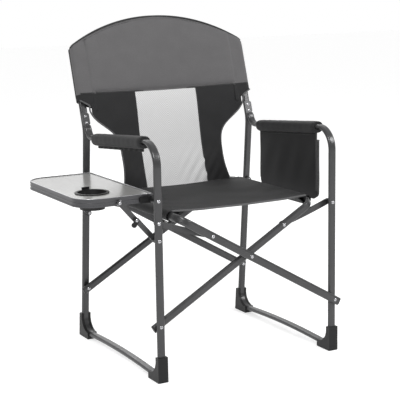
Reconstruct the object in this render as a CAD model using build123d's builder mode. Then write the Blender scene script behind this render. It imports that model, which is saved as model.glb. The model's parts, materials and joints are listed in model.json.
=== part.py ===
from build123d import *
from math import atan2, cos, degrees, hypot, radians, sin, sqrt, tan
import os

# Folding camp chair with a side table, a storage pouch and a fabric seat and back.
# X is the chair's width, Y its depth with the sitter facing -Y, and Z is up from the floor.
# "Left" is the table's side, -X, and "right" is the pouch's side, +X.

# ---------------------------------------------------------------- tubes and fasteners
TUBE_WIDTH = 22.0        # obround steel tube, wide way
TUBE_DEPTH = 12.0        # obround steel tube, narrow way
TUBE_WALL = 1.2
HOLE_CLEARANCE = 0.1     # radial, round every rivet's shank
RIVET_RADIUS = 2.5
RIVET_HEAD_RADIUS = 4.8
RIVET_HEAD_HEIGHT = 2.4
RIVET_TAIL_RADIUS = 4.2
RIVET_TAIL_HEIGHT = 1.4
SEAT_GAP = 0.3           # between faces of pieces that turn on each other
SEATING = 0.05           # between faces that are pressed together
BUSH_RADIUS = 8.0

# ---------------------------------------------------------------- side frames
FRAME_HALF = 270.0       # from the chair's middle to the middle of each side frame
FOOT_LENGTH = 506.0      # front leg to rear leg along the floor
REAR_LEAN = 5.64         # the rear leg leans forward going up, degrees
POST_BEND_HEIGHT = 619.0
RECLINE = 17.7           # the back posts lean back, degrees
POST_LENGTH = 236.0      # above the bend
ARM_FRONT_HEIGHT = 637.5 # where the armrest's line meets the front leg's line
ARM_SLOPE = 5.0          # the armrest falls towards the back, degrees
ARM_BEND_RADIUS = 60.0
ARM_TAIL_RADIUS = 36.0
FOOT_BEND_RADIUS = 45.0
POST_BEND_RADIUS = 90.0
BASE_BOW = 7.0           # half the height of the floor bar's middle corner above its ends
BASE_BOW_RADIUS = 3200.0
TAB_START = 6.0          # the armrest's rear end is pressed flat against the post
TAB_PRESSED = 15.0
TAB_END = 50.0
TAB_THICKNESS = 4.0
TAB_RIVETS = (22.0, 41.0)

# ---------------------------------------------------------------- feet
BOOT_WIDTH = 29.0
BOOT_WALL = 4.0
BOOT_SOLE = 5.0
BOOT_HEIGHT = 69.0
BOOT_LENGTH = 52.0
BOOT_CLEARANCE = 0.15

# ---------------------------------------------------------------- crossed frames
PIVOT_HEIGHT = 150.5     # lower pivots on the legs
REST_ANGLE = 30.3        # slope of the crossed arms with the chair open, degrees
FOLD_TRAVEL = 40.0       # how far the arms steepen when it folds, degrees
ARM_LENGTH = 560.0       # lower pivot to seat rail
ARM_TAIL = 15.0          # tube past the lower pivot
CROSS_BEND_RADIUS = 32.0
WASHER_GAP = 1.0         # leg to arm at the front
REAR_INNER_SPACE = 8.0   # leg to arm at the rear, the leaning leg needs more room
REAR_OUTER_SPACE = 3.0
PLUG_LENGTH = 14.0
PLUG_FLANGE = 2.0
PLUG_ROOM = 0.1          # all round a plug inside its tube

# ---------------------------------------------------------------- links from the legs to the arms
LINK_HEIGHT = 426.5      # pivots on the legs
LINK_WIDTH = 16.0
LINK_DEPTH = 5.0
LINK_SAG = 2.0
LINK_BOSS_RADIUS = 7.0
REAR_LEFT_LINK_SPACE = 2.0
REAR_RIGHT_LINK_SPACE = 5.7

# ---------------------------------------------------------------- seat
SEAT_FRONT = -205.0      # from the chair's middle
SEAT_REAR = 150.0
SLEEVE_INNER = TUBE_WIDTH / 2 + 0.4
FABRIC = 2.0             # wall of a sewn sleeve
SEAT_THICKNESS = 4.0
CENTRE_SHARE = 0.2       # share of each half that the soft middle strip takes

# ---------------------------------------------------------------- back
BACK_OVERHANG = 17.0     # the arch is this much wider than the posts' middles
ARCH_CORNER = 242.5      # heights along the posts, from their bend
ARCH_RISE = 87.0
BACK_SEAM = 104.0
SLEEVE_START = 78.0
BACK_BOTTOM = -172.0
WAIST_TOP = 56.0         # where the waist's curve leaves the posts
WAIST_HALF = 164.0       # half width at the narrowest
WAIST_FLARE = 41.0       # how much wider the curve is near its top
WAIST_FLARE_HEIGHT = 8.0
WAIST_FOOT = 11.0        # how much wider the back's bottom corner is
WAIST_INSET = 6.0        # curve's top end to the panel's edge
BACK_THICKNESS = 4.0
STRIP_GAP = 0.5

# ---------------------------------------------------------------- armrest sleeves and pouch
ARM_SLEEVE_WIDTH = 35.0
ARM_SLEEVE_HEIGHT = 27.0
ARM_SLEEVE_FRONT = -182.0
ARM_SLEEVE_REAR = 122.0
POUCH_THICKNESS = 24.0
POUCH_WALL = 2.0
POUCH_FRONT = -184.0
POUCH_REAR = 114.0
POUCH_BOTTOM = 425.0
POUCH_CORNER = 14.0
POUCH_HANG = 12.4        # armrest tube's middle to the top of the panel that hangs under the sleeve
POUCH_MOUTH = 26.0       # how much lower the outer panel ends

# ---------------------------------------------------------------- side table
TABLE_REACH = 470.0      # outer edge from the chair's middle
TABLE_INNER = 266.0
TABLE_FRONT = -217.0
TABLE_REAR = 180.0
TABLE_TOP = 500.0
RIM_HEIGHT = 22.0
RIM_WALL = 3.0
RIM_LIP = 1.2
RIM_LIP_HEIGHT = 4.0
RIM_OUTER_CORNER = 58.0
RIM_INNER_CORNER = 10.0
BOARD_THICKNESS = 6.0
BOARD_DROP = 1.0
CUP_X = -393.5
CUP_Y = -117.5
CUP_HOLE_RADIUS = 41.0
CUP_NECK_RADIUS = 40.5
CUP_FLANGE_RADIUS = 45.5
CUP_FLANGE = 2.5
CUP_WALL = 2.0
CUP_BOTTOM_RADIUS = 33.0
CUP_DEPTH = 43.0
CUP_TAB = (21.0, 6.0, 7.0)
TABLE_HINGE_HEIGHT = 485.0
STAY_PIVOT_HEIGHT = 380.0
STAY_REACH = 93.0        # hinge to the stay's pivot on the table
STAY_WIDTH = 14.0
STAY_DEPTH = 4.0
STAY_SPACE = RIVET_HEAD_HEIGHT + 2 * SEAT_GAP         # room for a rivet's head between the two parts
KNUCKLE_RADIUS = 5.5
BRACKET_PLATE = 3.0
BRACKET_LENGTH = 43.0
STOP_RADIUS = 6.5
STOP_LUG = 1.5
STOP_BELOW = 4.0         # the stop's place along the stay, short of the knuckle

# ---------------------------------------------------------------- where the origin lies
# The origin is on the floor, at the middle of the whole chair's box with the table out.
LEAN = tan(radians(REAR_LEAN))
HALF_DEPTH = TUBE_DEPTH / 2
RIGHT_REACH = (
    FRAME_HALF + (ARM_TAIL + PLUG_FLANGE) * cos(radians(REST_ANGLE))
    + TUBE_WIDTH / 2 * sin(radians(REST_ANGLE))
)
FRONT_REACH = FOOT_LENGTH / 2 + TUBE_DEPTH + WASHER_GAP + HALF_DEPTH + SEAT_GAP + RIVET_HEAD_HEIGHT
REAR_REACH = (
    FOOT_LENGTH / 2 - LEAN * POST_BEND_HEIGHT
    + (ARCH_CORNER + ARCH_RISE) * sin(radians(RECLINE)) + BACK_THICKNESS / 2 * cos(radians(RECLINE))
)
MID_X = (TABLE_REACH - RIGHT_REACH) / 2
MID_Y = (FRONT_REACH - REAR_REACH) / 2

FRONT_LEG_Y = MID_Y - FOOT_LENGTH / 2
BASE_Z = BOOT_SOLE + HALF_DEPTH
HOLE_RADIUS = RIVET_RADIUS + HOLE_CLEARANCE
PLUG_WIDTH = TUBE_WIDTH - 2 * (TUBE_WALL + PLUG_ROOM)
PLUG_DEPTH = TUBE_DEPTH - 2 * (TUBE_WALL + PLUG_ROOM)
SIDES = {"left": -1, "right": 1}

os.makedirs("parts", exist_ok=True)


def rear_leg_y(height):
    """Middle of the leaning rear legs at a height."""
    return MID_Y + FOOT_LENGTH / 2 - LEAN * height


# ---------------------------------------------------------------- geometry of the fold
REST = radians(REST_ANGLE)
FOLDED = radians(REST_ANGLE + FOLD_TRAVEL)
CROSSING = FRAME_HALF / cos(REST)                     # lower pivot to crossing, along an arm
RAIL_HALF = (ARM_LENGTH - CROSSING) * cos(REST)       # chair's middle to a seat rail
RAIL_HEIGHT = PIVOT_HEIGHT + ARM_LENGTH * sin(REST)
CROSSING_HEIGHT = PIVOT_HEIGHT + CROSSING * sin(REST)
LINK_RISE = LINK_HEIGHT - PIVOT_HEIGHT


def link_reach_along_arm():
    """Distance from an arm's lower pivot to its link's pivot.

    The link has the same length with the chair open and with it folded.
    """
    target = sin(REST) + sin(FOLDED)
    low = 1.05 * CROSSING
    high = 2.0 * CROSSING
    for _ in range(60):
        reach = (low + high) / 2
        rest = 2 * CROSSING - reach
        total = 2 * LINK_RISE * reach / (reach**2 - rest**2)
        if total > target:
            low = reach
        else:
            high = reach
    return reach


LINK_REACH = link_reach_along_arm()
LINK_END_X = -FRAME_HALF + LINK_REACH * cos(REST)     # pivot on the inner frame's arm
LINK_END_Z = PIVOT_HEIGHT + LINK_REACH * sin(REST)

# Planes of the crossed arms, as Y positions of the tubes' middles.
ARM_Y = {
    "inner": (
        FRONT_LEG_Y + TUBE_DEPTH + WASHER_GAP,
        rear_leg_y(PIVOT_HEIGHT) - TUBE_DEPTH - REAR_INNER_SPACE,
    ),
    "outer": (
        FRONT_LEG_Y - TUBE_DEPTH - WASHER_GAP,
        rear_leg_y(PIVOT_HEIGHT) + TUBE_DEPTH + REAR_OUTER_SPACE,
    ),
}

# Line of the back posts.
POST_BEND = Vector(0, rear_leg_y(POST_BEND_HEIGHT), POST_BEND_HEIGHT)
POST_UP = Vector(0, sin(radians(RECLINE)), cos(radians(RECLINE)))
POST_FRONT = Vector(0, -cos(radians(RECLINE)), sin(radians(RECLINE)))


def on_post(along, forward=0.0, x=0.0):
    """A point a distance up the back post from its bend, and in front of its middle."""
    return POST_BEND + POST_UP * along + POST_FRONT * forward + Vector(x, 0, 0)


def armrest_z(y):
    """Middle of the armrest tube at a depth."""
    return ARM_FRONT_HEIGHT - tan(radians(ARM_SLOPE)) * (y - FRONT_LEG_Y)


def side_corners():
    """Corners of the side frame's line, from the armrest's tail round to the post's top."""
    tail = on_post(TAB_START, TUBE_DEPTH + SEAT_GAP)
    drop = (armrest_z(tail.Y) - tail.Z) / (POST_UP.Z + tan(radians(ARM_SLOPE)) * POST_UP.Y)
    return [
        tail,
        tail + POST_UP * drop,
        Vector(0, FRONT_LEG_Y, ARM_FRONT_HEIGHT),
        Vector(0, FRONT_LEG_Y, BASE_Z),
        Vector(0, MID_Y, BASE_Z + 2 * BASE_BOW),
        Vector(0, rear_leg_y(BASE_Z), BASE_Z),
        on_post(0),
        on_post(POST_LENGTH),
    ]


SIDE_RADII = [
    ARM_TAIL_RADIUS,
    ARM_BEND_RADIUS,
    FOOT_BEND_RADIUS,
    BASE_BOW_RADIUS,
    FOOT_BEND_RADIUS,
    POST_BEND_RADIUS,
]


def across_y(x, z, y_from, y_to, radius, mode=Mode.ADD):
    """A round bar along Y inside the open part."""
    with BuildSketch(Plane(origin=(x, y_from, z), x_dir=(1, 0, 0), z_dir=(0, 1, 0))) as disc:
        Circle(radius)
    extrude(disc.sketch, amount=y_to - y_from, mode=mode)


def bush(x, z, y_from, y_to):
    """A ring round a rivet's shank, added to the open part."""
    with BuildSketch(Plane(origin=(x, y_from, z), x_dir=(1, 0, 0), z_dir=(0, 1, 0))) as ring:
        Circle(BUSH_RADIUS)
        Circle(HOLE_RADIUS, mode=Mode.SUBTRACT)
    extrude(ring.sketch, amount=y_to - y_from)


def rivet(head, tail, tail_height=RIVET_TAIL_HEIGHT):
    """A domed rivet, added to the open part.

    head and tail are the points on its axis where its two ends bear.
    """
    out = (Vector(*head) - Vector(*tail)).normalized()
    grip = (Vector(*head) - Vector(*tail)).length
    with BuildSketch(Plane(origin=head, x_dir=(1, 0, 0), z_dir=Vector(1, 0, 0).cross(out))) as half:
        with BuildLine():
            Line((RIVET_HEAD_RADIUS, 0), (RIVET_RADIUS, 0))
            Line((RIVET_RADIUS, 0), (RIVET_RADIUS, -grip))
            if tail_height > 0:
                Line((RIVET_RADIUS, -grip), (RIVET_TAIL_RADIUS, -grip))
                Line((RIVET_TAIL_RADIUS, -grip), (RIVET_TAIL_RADIUS, -grip - tail_height))
                Line((RIVET_TAIL_RADIUS, -grip - tail_height), (0, -grip - tail_height))
            else:
                Line((RIVET_RADIUS, -grip), (0, -grip))
            Line((0, -grip - max(tail_height, 0)), (0, RIVET_HEAD_HEIGHT))
            RadiusArc((0, RIVET_HEAD_HEIGHT), (RIVET_HEAD_RADIUS, 0), RIVET_HEAD_RADIUS * 1.35)
        make_face()
    revolve(half.sketch, axis=Axis(head, out))


# ================================================================ side frames
def leg_holes(side):
    """Heights of the rivet holes through both legs of a side frame."""
    heights = [PIVOT_HEIGHT, LINK_HEIGHT]
    if side == "left":
        heights += [TABLE_HINGE_HEIGHT, STAY_PIVOT_HEIGHT]
    return heights


for side, sign in SIDES.items():
    frame_x = MID_X + sign * FRAME_HALF
    with BuildPart() as side_tube:
        with BuildLine() as route:
            FilletPolyline([p + Vector(frame_x, 0, 0) for p in side_corners()], radius=SIDE_RADII)
        with BuildSketch(Plane(origin=route.line @ 0, x_dir=(1, 0, 0), z_dir=route.line % 0)):
            SlotOverall(TUBE_WIDTH, TUBE_DEPTH)
            SlotOverall(TUBE_WIDTH - 2 * TUBE_WALL, TUBE_DEPTH - 2 * TUBE_WALL, mode=Mode.SUBTRACT)
        sweep()
        pressed_middle = HALF_DEPTH + SEAT_GAP + TAB_THICKNESS / 2
        round_end = Plane(
            origin=on_post(TAB_START, TUBE_DEPTH + SEAT_GAP, frame_x), x_dir=(1, 0, 0), z_dir=POST_UP
        )
        flat_end = Plane(origin=on_post(TAB_PRESSED, pressed_middle, frame_x), x_dir=(1, 0, 0), z_dir=POST_UP)
        with BuildSketch(round_end):
            SlotOverall(TUBE_WIDTH, TUBE_DEPTH)
        with BuildSketch(flat_end):
            SlotOverall(TUBE_WIDTH, TAB_THICKNESS)
        loft()
        pressed_face = Plane(
            origin=on_post(0, pressed_middle - TAB_THICKNESS / 2, frame_x), x_dir=(1, 0, 0), z_dir=POST_FRONT
        )
        with BuildSketch(pressed_face):
            with Locations((0, (TAB_PRESSED + TAB_END) / 2)):
                tab = Rectangle(TUBE_WIDTH, TAB_END - TAB_PRESSED)
            fillet(tab.vertices().sort_by(Axis.Z)[-2:], TUBE_WIDTH / 4)
        extrude(amount=TAB_THICKNESS)
        for height in leg_holes(side):
            for leg_y in (FRONT_LEG_Y, rear_leg_y(height)):
                near_face, far_face = leg_y - TUBE_DEPTH, leg_y + TUBE_DEPTH
                across_y(frame_x, height, near_face, far_face, HOLE_RADIUS, Mode.SUBTRACT)
        for along in TAB_RIVETS:
            start = on_post(along, -TUBE_DEPTH, frame_x)
            with BuildSketch(Plane(origin=start, x_dir=(1, 0, 0), z_dir=POST_FRONT)):
                Circle(HOLE_RADIUS)
            extrude(amount=3 * TUBE_DEPTH, mode=Mode.SUBTRACT)
    side_tube.part.label = f"{side}_side_tube"
    export_step(side_tube.part, f"parts/{side}_side_tube.step")

    # Solid of the tube's outside, a little larger, that the boots are cut with.
    with BuildPart() as boot_core:
        with BuildLine() as route:
            FilletPolyline([p + Vector(frame_x, 0, 0) for p in side_corners()[2:7]], radius=SIDE_RADII[2:5])
        with BuildSketch(Plane(origin=route.line @ 0, x_dir=(1, 0, 0), z_dir=route.line % 0)):
            SlotOverall(TUBE_WIDTH + 2 * BOOT_CLEARANCE, TUBE_DEPTH + 2 * BOOT_CLEARANCE)
        sweep()

    # Boots: square at the outer corner, open on the inside of the bend.
    for end, leg_top, corner in (
        ("front", side_corners()[2], side_corners()[3]),
        ("rear", side_corners()[6], side_corners()[5]),
    ):
        up = (leg_top - corner).normalized()
        along = (side_corners()[4] - corner).normalized()
        spread = sin(radians(up.get_angle(along)))
        inside = corner + (up + along) * (HALF_DEPTH / spread)
        outside = corner - along * ((HALF_DEPTH + BOOT_WALL) / spread)
        foot = outside - up * (outside.Z / up.Z)
        head = outside + up * ((BOOT_HEIGHT - outside.Z) / up.Z)
        head_in = inside + up * ((BOOT_HEIGHT - inside.Z) / up.Z)
        tip = inside + along * (BOOT_LENGTH - HALF_DEPTH)
        with BuildPart() as boot:
            with BuildSketch(Plane.YZ.offset(frame_x - BOOT_WIDTH / 2)):
                with BuildLine():
                    FilletPolyline(
                        [(p.Y, p.Z) for p in (tip, inside, head_in)], radius=FOOT_BEND_RADIUS - HALF_DEPTH
                    )
                    Polyline([(p.Y, p.Z) for p in (head_in, head, foot)])
                    Polyline([(foot.Y, foot.Z), (tip.Y, 0), (tip.Y, tip.Z)])
                make_face()
            extrude(amount=BOOT_WIDTH)
            fillet(boot.edges().filter_by(Axis.X).group_by(Axis.Z)[-1], 1.0)
            add(boot_core.part, mode=Mode.SUBTRACT)
        boot.part.label = f"boot_{end}_{side}"
        export_step(boot.part, f"parts/boot_{end}_{side}.step")

    # Rivets that stay with the side frame.
    arm = "inner" if side == "left" else "outer"
    front_arm, rear_arm = ARM_Y[arm]
    with BuildPart() as frame_rivets:
        for along in TAB_RIVETS:
            rivet(
                on_post(along, HALF_DEPTH + SEAT_GAP + TAB_THICKNESS + SEATING, frame_x),
                on_post(along, -HALF_DEPTH - SEATING, frame_x),
            )
        front_stack = sorted((FRONT_LEG_Y, front_arm))
        rivet(
            (frame_x, front_stack[0] - HALF_DEPTH - SEAT_GAP, PIVOT_HEIGHT),
            (frame_x, front_stack[1] + HALF_DEPTH + SEAT_GAP, PIVOT_HEIGHT),
        )
        rear_stack = sorted((rear_leg_y(PIVOT_HEIGHT), rear_arm))
        rivet(
            (frame_x, rear_stack[0] - HALF_DEPTH - 2 * SEAT_GAP, PIVOT_HEIGHT),
            (frame_x, rear_stack[1] + HALF_DEPTH + 2 * SEAT_GAP, PIVOT_HEIGHT),
        )
        rear_leg = rear_leg_y(LINK_HEIGHT)
        if side == "left":
            front_link = FRONT_LEG_Y + HALF_DEPTH + WASHER_GAP
            rear_link = rear_leg + HALF_DEPTH + REAR_LEFT_LINK_SPACE
            rear_span = (rear_leg - HALF_DEPTH - 2 * SEAT_GAP, rear_link + LINK_DEPTH + SEAT_GAP)
        else:
            front_link = ARM_Y["inner"][0] + HALF_DEPTH + SEAT_GAP
            rear_link = rear_leg - HALF_DEPTH - REAR_RIGHT_LINK_SPACE
            rear_span = (rear_link - LINK_DEPTH - SEAT_GAP, rear_leg + HALF_DEPTH + 2 * SEAT_GAP)
        rivet(
            (frame_x, FRONT_LEG_Y - HALF_DEPTH - SEAT_GAP, LINK_HEIGHT),
            (frame_x, front_link + LINK_DEPTH + SEAT_GAP, LINK_HEIGHT),
        )
        rivet((frame_x, rear_span[0], LINK_HEIGHT), (frame_x, rear_span[1], LINK_HEIGHT))
    frame_rivets.part.label = f"{side}_frame_rivets"
    export_step(frame_rivets.part, f"parts/{side}_frame_rivets.step")

    # Bushes round the rivets where the pieces don't lie face to face.
    with BuildPart() as frame_bushes:
        lean_room = BUSH_RADIUS * LEAN + 2 * SEATING
        if side == "left":
            bush(
                frame_x, PIVOT_HEIGHT, rear_arm + HALF_DEPTH + SEAT_GAP,
                rear_leg_y(PIVOT_HEIGHT) - HALF_DEPTH - lean_room,
            )
        else:
            bush(frame_x, LINK_HEIGHT, FRONT_LEG_Y + HALF_DEPTH + SEATING, front_link - SEAT_GAP)
            bush(
                frame_x, LINK_HEIGHT, rear_link + SEAT_GAP,
                rear_leg_y(LINK_HEIGHT) - HALF_DEPTH - lean_room,
            )
    frame_bushes.part.label = f"{side}_frame_bushes"
    export_step(frame_bushes.part, f"parts/{side}_frame_bushes.step")

    # Padded armrest sleeve.
    sleeve_front = Vector(frame_x, MID_Y + ARM_SLEEVE_FRONT, armrest_z(MID_Y + ARM_SLEEVE_FRONT))
    sleeve_rear = Vector(frame_x, MID_Y + ARM_SLEEVE_REAR, armrest_z(MID_Y + ARM_SLEEVE_REAR))
    with BuildPart() as arm_sleeve:
        with BuildSketch(Plane(origin=sleeve_front, x_dir=(1, 0, 0), z_dir=sleeve_rear - sleeve_front)):
            SlotOverall(ARM_SLEEVE_WIDTH, ARM_SLEEVE_HEIGHT)
            SlotOverall(TUBE_WIDTH + 2 * SEAT_GAP, TUBE_DEPTH + 2 * SEAT_GAP, mode=Mode.SUBTRACT)
        extrude(amount=(sleeve_rear - sleeve_front).length)
    arm_sleeve.part.label = f"{side}_arm_sleeve"
    export_step(arm_sleeve.part, f"parts/{side}_arm_sleeve.step")

# ================================================================ crossed frames
CROSS = {"inner": 1, "outer": -1}    # which way each frame's arms run, going up


def arm_point(cross, along):
    """X and Z of a point along an arm, measured from its lower pivot."""
    run = CROSS[cross]
    x = MID_X - run * FRAME_HALF + run * along * cos(REST)
    return x, PIVOT_HEIGHT + along * sin(REST)


for cross, run in CROSS.items():
    front_y, rear_y = ARM_Y[cross]
    pivot_x, pivot_z = arm_point(cross, 0)
    arm_dir = Vector(run * cos(REST), 0, sin(REST))
    across = arm_dir.cross(Vector(0, 1, 0))

    def in_frame(along, y):
        """A point in the crossed frame's plane."""
        return Vector(pivot_x, y, pivot_z) + arm_dir * along

    with BuildPart() as cross_tube:
        with BuildLine() as route:
            FilletPolyline(
                in_frame(-ARM_TAIL, front_y),
                in_frame(ARM_LENGTH, front_y),
                in_frame(ARM_LENGTH, rear_y),
                in_frame(-ARM_TAIL, rear_y),
                radius=CROSS_BEND_RADIUS,
            )
        with BuildSketch(Plane(origin=route.line @ 0, x_dir=across, z_dir=route.line % 0)):
            SlotOverall(TUBE_WIDTH, TUBE_DEPTH)
            SlotOverall(TUBE_WIDTH - 2 * TUBE_WALL, TUBE_DEPTH - 2 * TUBE_WALL, mode=Mode.SUBTRACT)
        sweep()
        for along in (0.0, CROSSING, LINK_REACH):
            hole_x, hole_z = arm_point(cross, along)
            for arm_y in ARM_Y[cross]:
                near_face, far_face = arm_y - TUBE_DEPTH, arm_y + TUBE_DEPTH
                across_y(hole_x, hole_z, near_face, far_face, HOLE_RADIUS, Mode.SUBTRACT)
    cross_tube.part.label = f"{cross}_cross_tube"
    export_step(cross_tube.part, f"parts/{cross}_cross_tube.step")

    # End plugs in the arms' lower ends.
    with BuildPart() as end_plugs:
        for arm_y in ARM_Y[cross]:
            with BuildSketch(Plane(origin=in_frame(-ARM_TAIL, arm_y), x_dir=across, z_dir=arm_dir)):
                SlotOverall(PLUG_WIDTH, PLUG_DEPTH)
            extrude(amount=ARM_TAIL - 2 * RIVET_RADIUS)
            flange = in_frame(-ARM_TAIL - PLUG_FLANGE, arm_y)
            with BuildSketch(Plane(origin=flange, x_dir=across, z_dir=arm_dir)):
                SlotOverall(TUBE_WIDTH, TUBE_DEPTH)
            extrude(amount=PLUG_FLANGE)
    end_plugs.part.label = f"{cross}_cross_plugs"
    export_step(end_plugs.part, f"parts/{cross}_cross_plugs.step")

    # Rivets of the links' pivots on the arms. Each ends at the arm's face, where the link's boss begins.
    pin_x, pin_z = arm_point(cross, LINK_REACH)
    with BuildPart() as link_pins:
        for arm_y, out in ((front_y, -1), (rear_y, 1)):
            head_y = arm_y + out * (HALF_DEPTH + SEATING)
            rivet((pin_x, head_y, pin_z), (pin_x, arm_y - out * HALF_DEPTH, pin_z), 0)
    link_pins.part.label = f"{cross}_cross_link_pins"
    export_step(link_pins.part, f"parts/{cross}_cross_link_pins.step")

# Rivets and bushes where the two frames cross.
with BuildPart() as crossing_rivets:
    rivet(
        (MID_X, ARM_Y["outer"][0] - HALF_DEPTH - SEAT_GAP, CROSSING_HEIGHT),
        (MID_X, ARM_Y["inner"][0] + HALF_DEPTH + SEAT_GAP, CROSSING_HEIGHT),
    )
    rivet(
        (MID_X, ARM_Y["outer"][1] + HALF_DEPTH + SEAT_GAP, CROSSING_HEIGHT),
        (MID_X, ARM_Y["inner"][1] - HALF_DEPTH - SEAT_GAP, CROSSING_HEIGHT),
    )
crossing_rivets.part.label = "crossing_rivets"
export_step(crossing_rivets.part, "parts/crossing_rivets.step")

with BuildPart() as crossing_bushes:
    bush(
        MID_X, CROSSING_HEIGHT,
        ARM_Y["outer"][0] + HALF_DEPTH + SEAT_GAP, ARM_Y["inner"][0] - HALF_DEPTH - SEAT_GAP,
    )
    bush(
        MID_X, CROSSING_HEIGHT,
        ARM_Y["inner"][1] + HALF_DEPTH + SEAT_GAP, ARM_Y["outer"][1] - HALF_DEPTH - SEAT_GAP,
    )
crossing_bushes.part.label = "crossing_bushes"
export_step(crossing_bushes.part, "parts/crossing_bushes.step")

# ================================================================ links
LINK_PLACES = {
    # name: (side, Y of the link's near face, way it is thick, Y of the arm face its boss meets)
    "front_left_link": (-1, FRONT_LEG_Y + HALF_DEPTH + WASHER_GAP, 1, ARM_Y["outer"][0] + HALF_DEPTH),
    "rear_left_link": (
        -1, rear_leg_y(LINK_HEIGHT) + HALF_DEPTH + REAR_LEFT_LINK_SPACE, 1, ARM_Y["outer"][1] - HALF_DEPTH,
    ),
    "front_right_link": (1, ARM_Y["inner"][0] + HALF_DEPTH + SEAT_GAP, 1, ARM_Y["inner"][0] + HALF_DEPTH),
    "rear_right_link": (
        1, rear_leg_y(LINK_HEIGHT) - HALF_DEPTH - REAR_RIGHT_LINK_SPACE, -1, ARM_Y["inner"][1] - HALF_DEPTH,
    ),
}
for name, (sign, face_y, thick, arm_face) in LINK_PLACES.items():
    leg_x = MID_X + sign * FRAME_HALF
    end_x = MID_X + sign * LINK_END_X
    near, far = sorted((face_y, face_y + thick * LINK_DEPTH))
    middle = Vector((leg_x + end_x) / 2, 0, (LINK_HEIGHT + LINK_END_Z) / 2)
    chord = Vector(end_x - leg_x, 0, LINK_END_Z - LINK_HEIGHT)
    bulge = Vector(0, 1, 0).cross(chord).normalized() * (-sign * LINK_SAG)
    top = middle + bulge
    bow = ThreePointArc((leg_x, LINK_HEIGHT), (top.X, top.Z), (end_x, LINK_END_Z), mode=Mode.PRIVATE)
    with BuildPart() as link:
        with BuildSketch(Plane(origin=(0, near, 0), x_dir=(1, 0, 0), z_dir=(0, -1, 0))):
            SlotArc(bow, height=LINK_WIDTH)
        extrude(amount=-LINK_DEPTH)
        boss_start = far if arm_face > far else near
        boss_end = arm_face - SEAT_GAP if arm_face > far else arm_face + SEAT_GAP
        if abs(boss_end - boss_start) > SEAT_GAP:
            across_y(end_x, LINK_END_Z, *sorted((boss_start, boss_end)), LINK_BOSS_RADIUS)
        across_y(leg_x, LINK_HEIGHT, near - 1, far + 1, HOLE_RADIUS, Mode.SUBTRACT)
    link.part.label = name
    export_step(link.part, f"parts/{name}.step")

# ================================================================ seat
STRIP_HALF = CENTRE_SHARE * RAIL_HALF
SEAT_MIDDLE = RAIL_HEIGHT + SLEEVE_INNER + FABRIC - SEAT_THICKNESS / 2
for side, sign in SIDES.items():
    rail_x = MID_X + sign * RAIL_HALF
    with BuildPart() as seat_half:
        with BuildSketch(Plane.XZ.offset(-MID_Y - SEAT_FRONT)):
            with Locations((rail_x, RAIL_HEIGHT)):
                Circle(SLEEVE_INNER + FABRIC)
            inner_x = MID_X + sign * STRIP_HALF
            with Locations(((rail_x + inner_x) / 2, SEAT_MIDDLE)):
                Rectangle(abs(rail_x - inner_x), SEAT_THICKNESS)
            with Locations((rail_x, RAIL_HEIGHT)):
                Circle(SLEEVE_INNER, mode=Mode.SUBTRACT)
        extrude(amount=-(SEAT_REAR - SEAT_FRONT))
    seat_half.part.label = f"seat_{side}"
    export_step(seat_half.part, f"parts/seat_{side}.step")

with BuildPart() as seat_centre:
    with BuildSketch(Plane.XZ.offset(-MID_Y - SEAT_FRONT)):
        with Locations((MID_X, SEAT_MIDDLE)):
            Rectangle(2 * (STRIP_HALF - STRIP_GAP), SEAT_THICKNESS)
    extrude(amount=-(SEAT_REAR - SEAT_FRONT))
seat_centre.part.label = "seat_centre"
export_step(seat_centre.part, "parts/seat_centre.step")

# ================================================================ back
BACK_STRIP_HALF = CENTRE_SHARE * FRAME_HALF
BACK_HALF = FRAME_HALF + BACK_OVERHANG
ARCH_RADIUS = (BACK_HALF**2 + ARCH_RISE**2) / (2 * ARCH_RISE)
PANEL_EDGE = FRAME_HALF - SLEEVE_INNER - FABRIC / 2   # inside the sleeve's wall
back_plane = Plane(
    origin=on_post(0, -BACK_THICKNESS / 2, MID_X), x_dir=(1, 0, 0), z_dir=POST_FRONT
)


def arch_height(x):
    """Height of the arched top edge at a distance from the chair's middle."""
    return ARCH_CORNER + ARCH_RISE - ARCH_RADIUS + sqrt(ARCH_RADIUS**2 - x**2)


def post_sleeve(sign, low, high):
    """A fabric sleeve round a back post, added to the open part."""
    start = on_post(low, 0, MID_X + sign * FRAME_HALF)
    for radius, mode in ((SLEEVE_INNER + FABRIC, Mode.ADD), (SLEEVE_INNER, Mode.SUBTRACT)):
        with BuildSketch(Plane(origin=start, x_dir=(1, 0, 0), z_dir=POST_UP)) as disc:
            Circle(radius)
        extrude(disc.sketch, amount=high - low, mode=mode)


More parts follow.
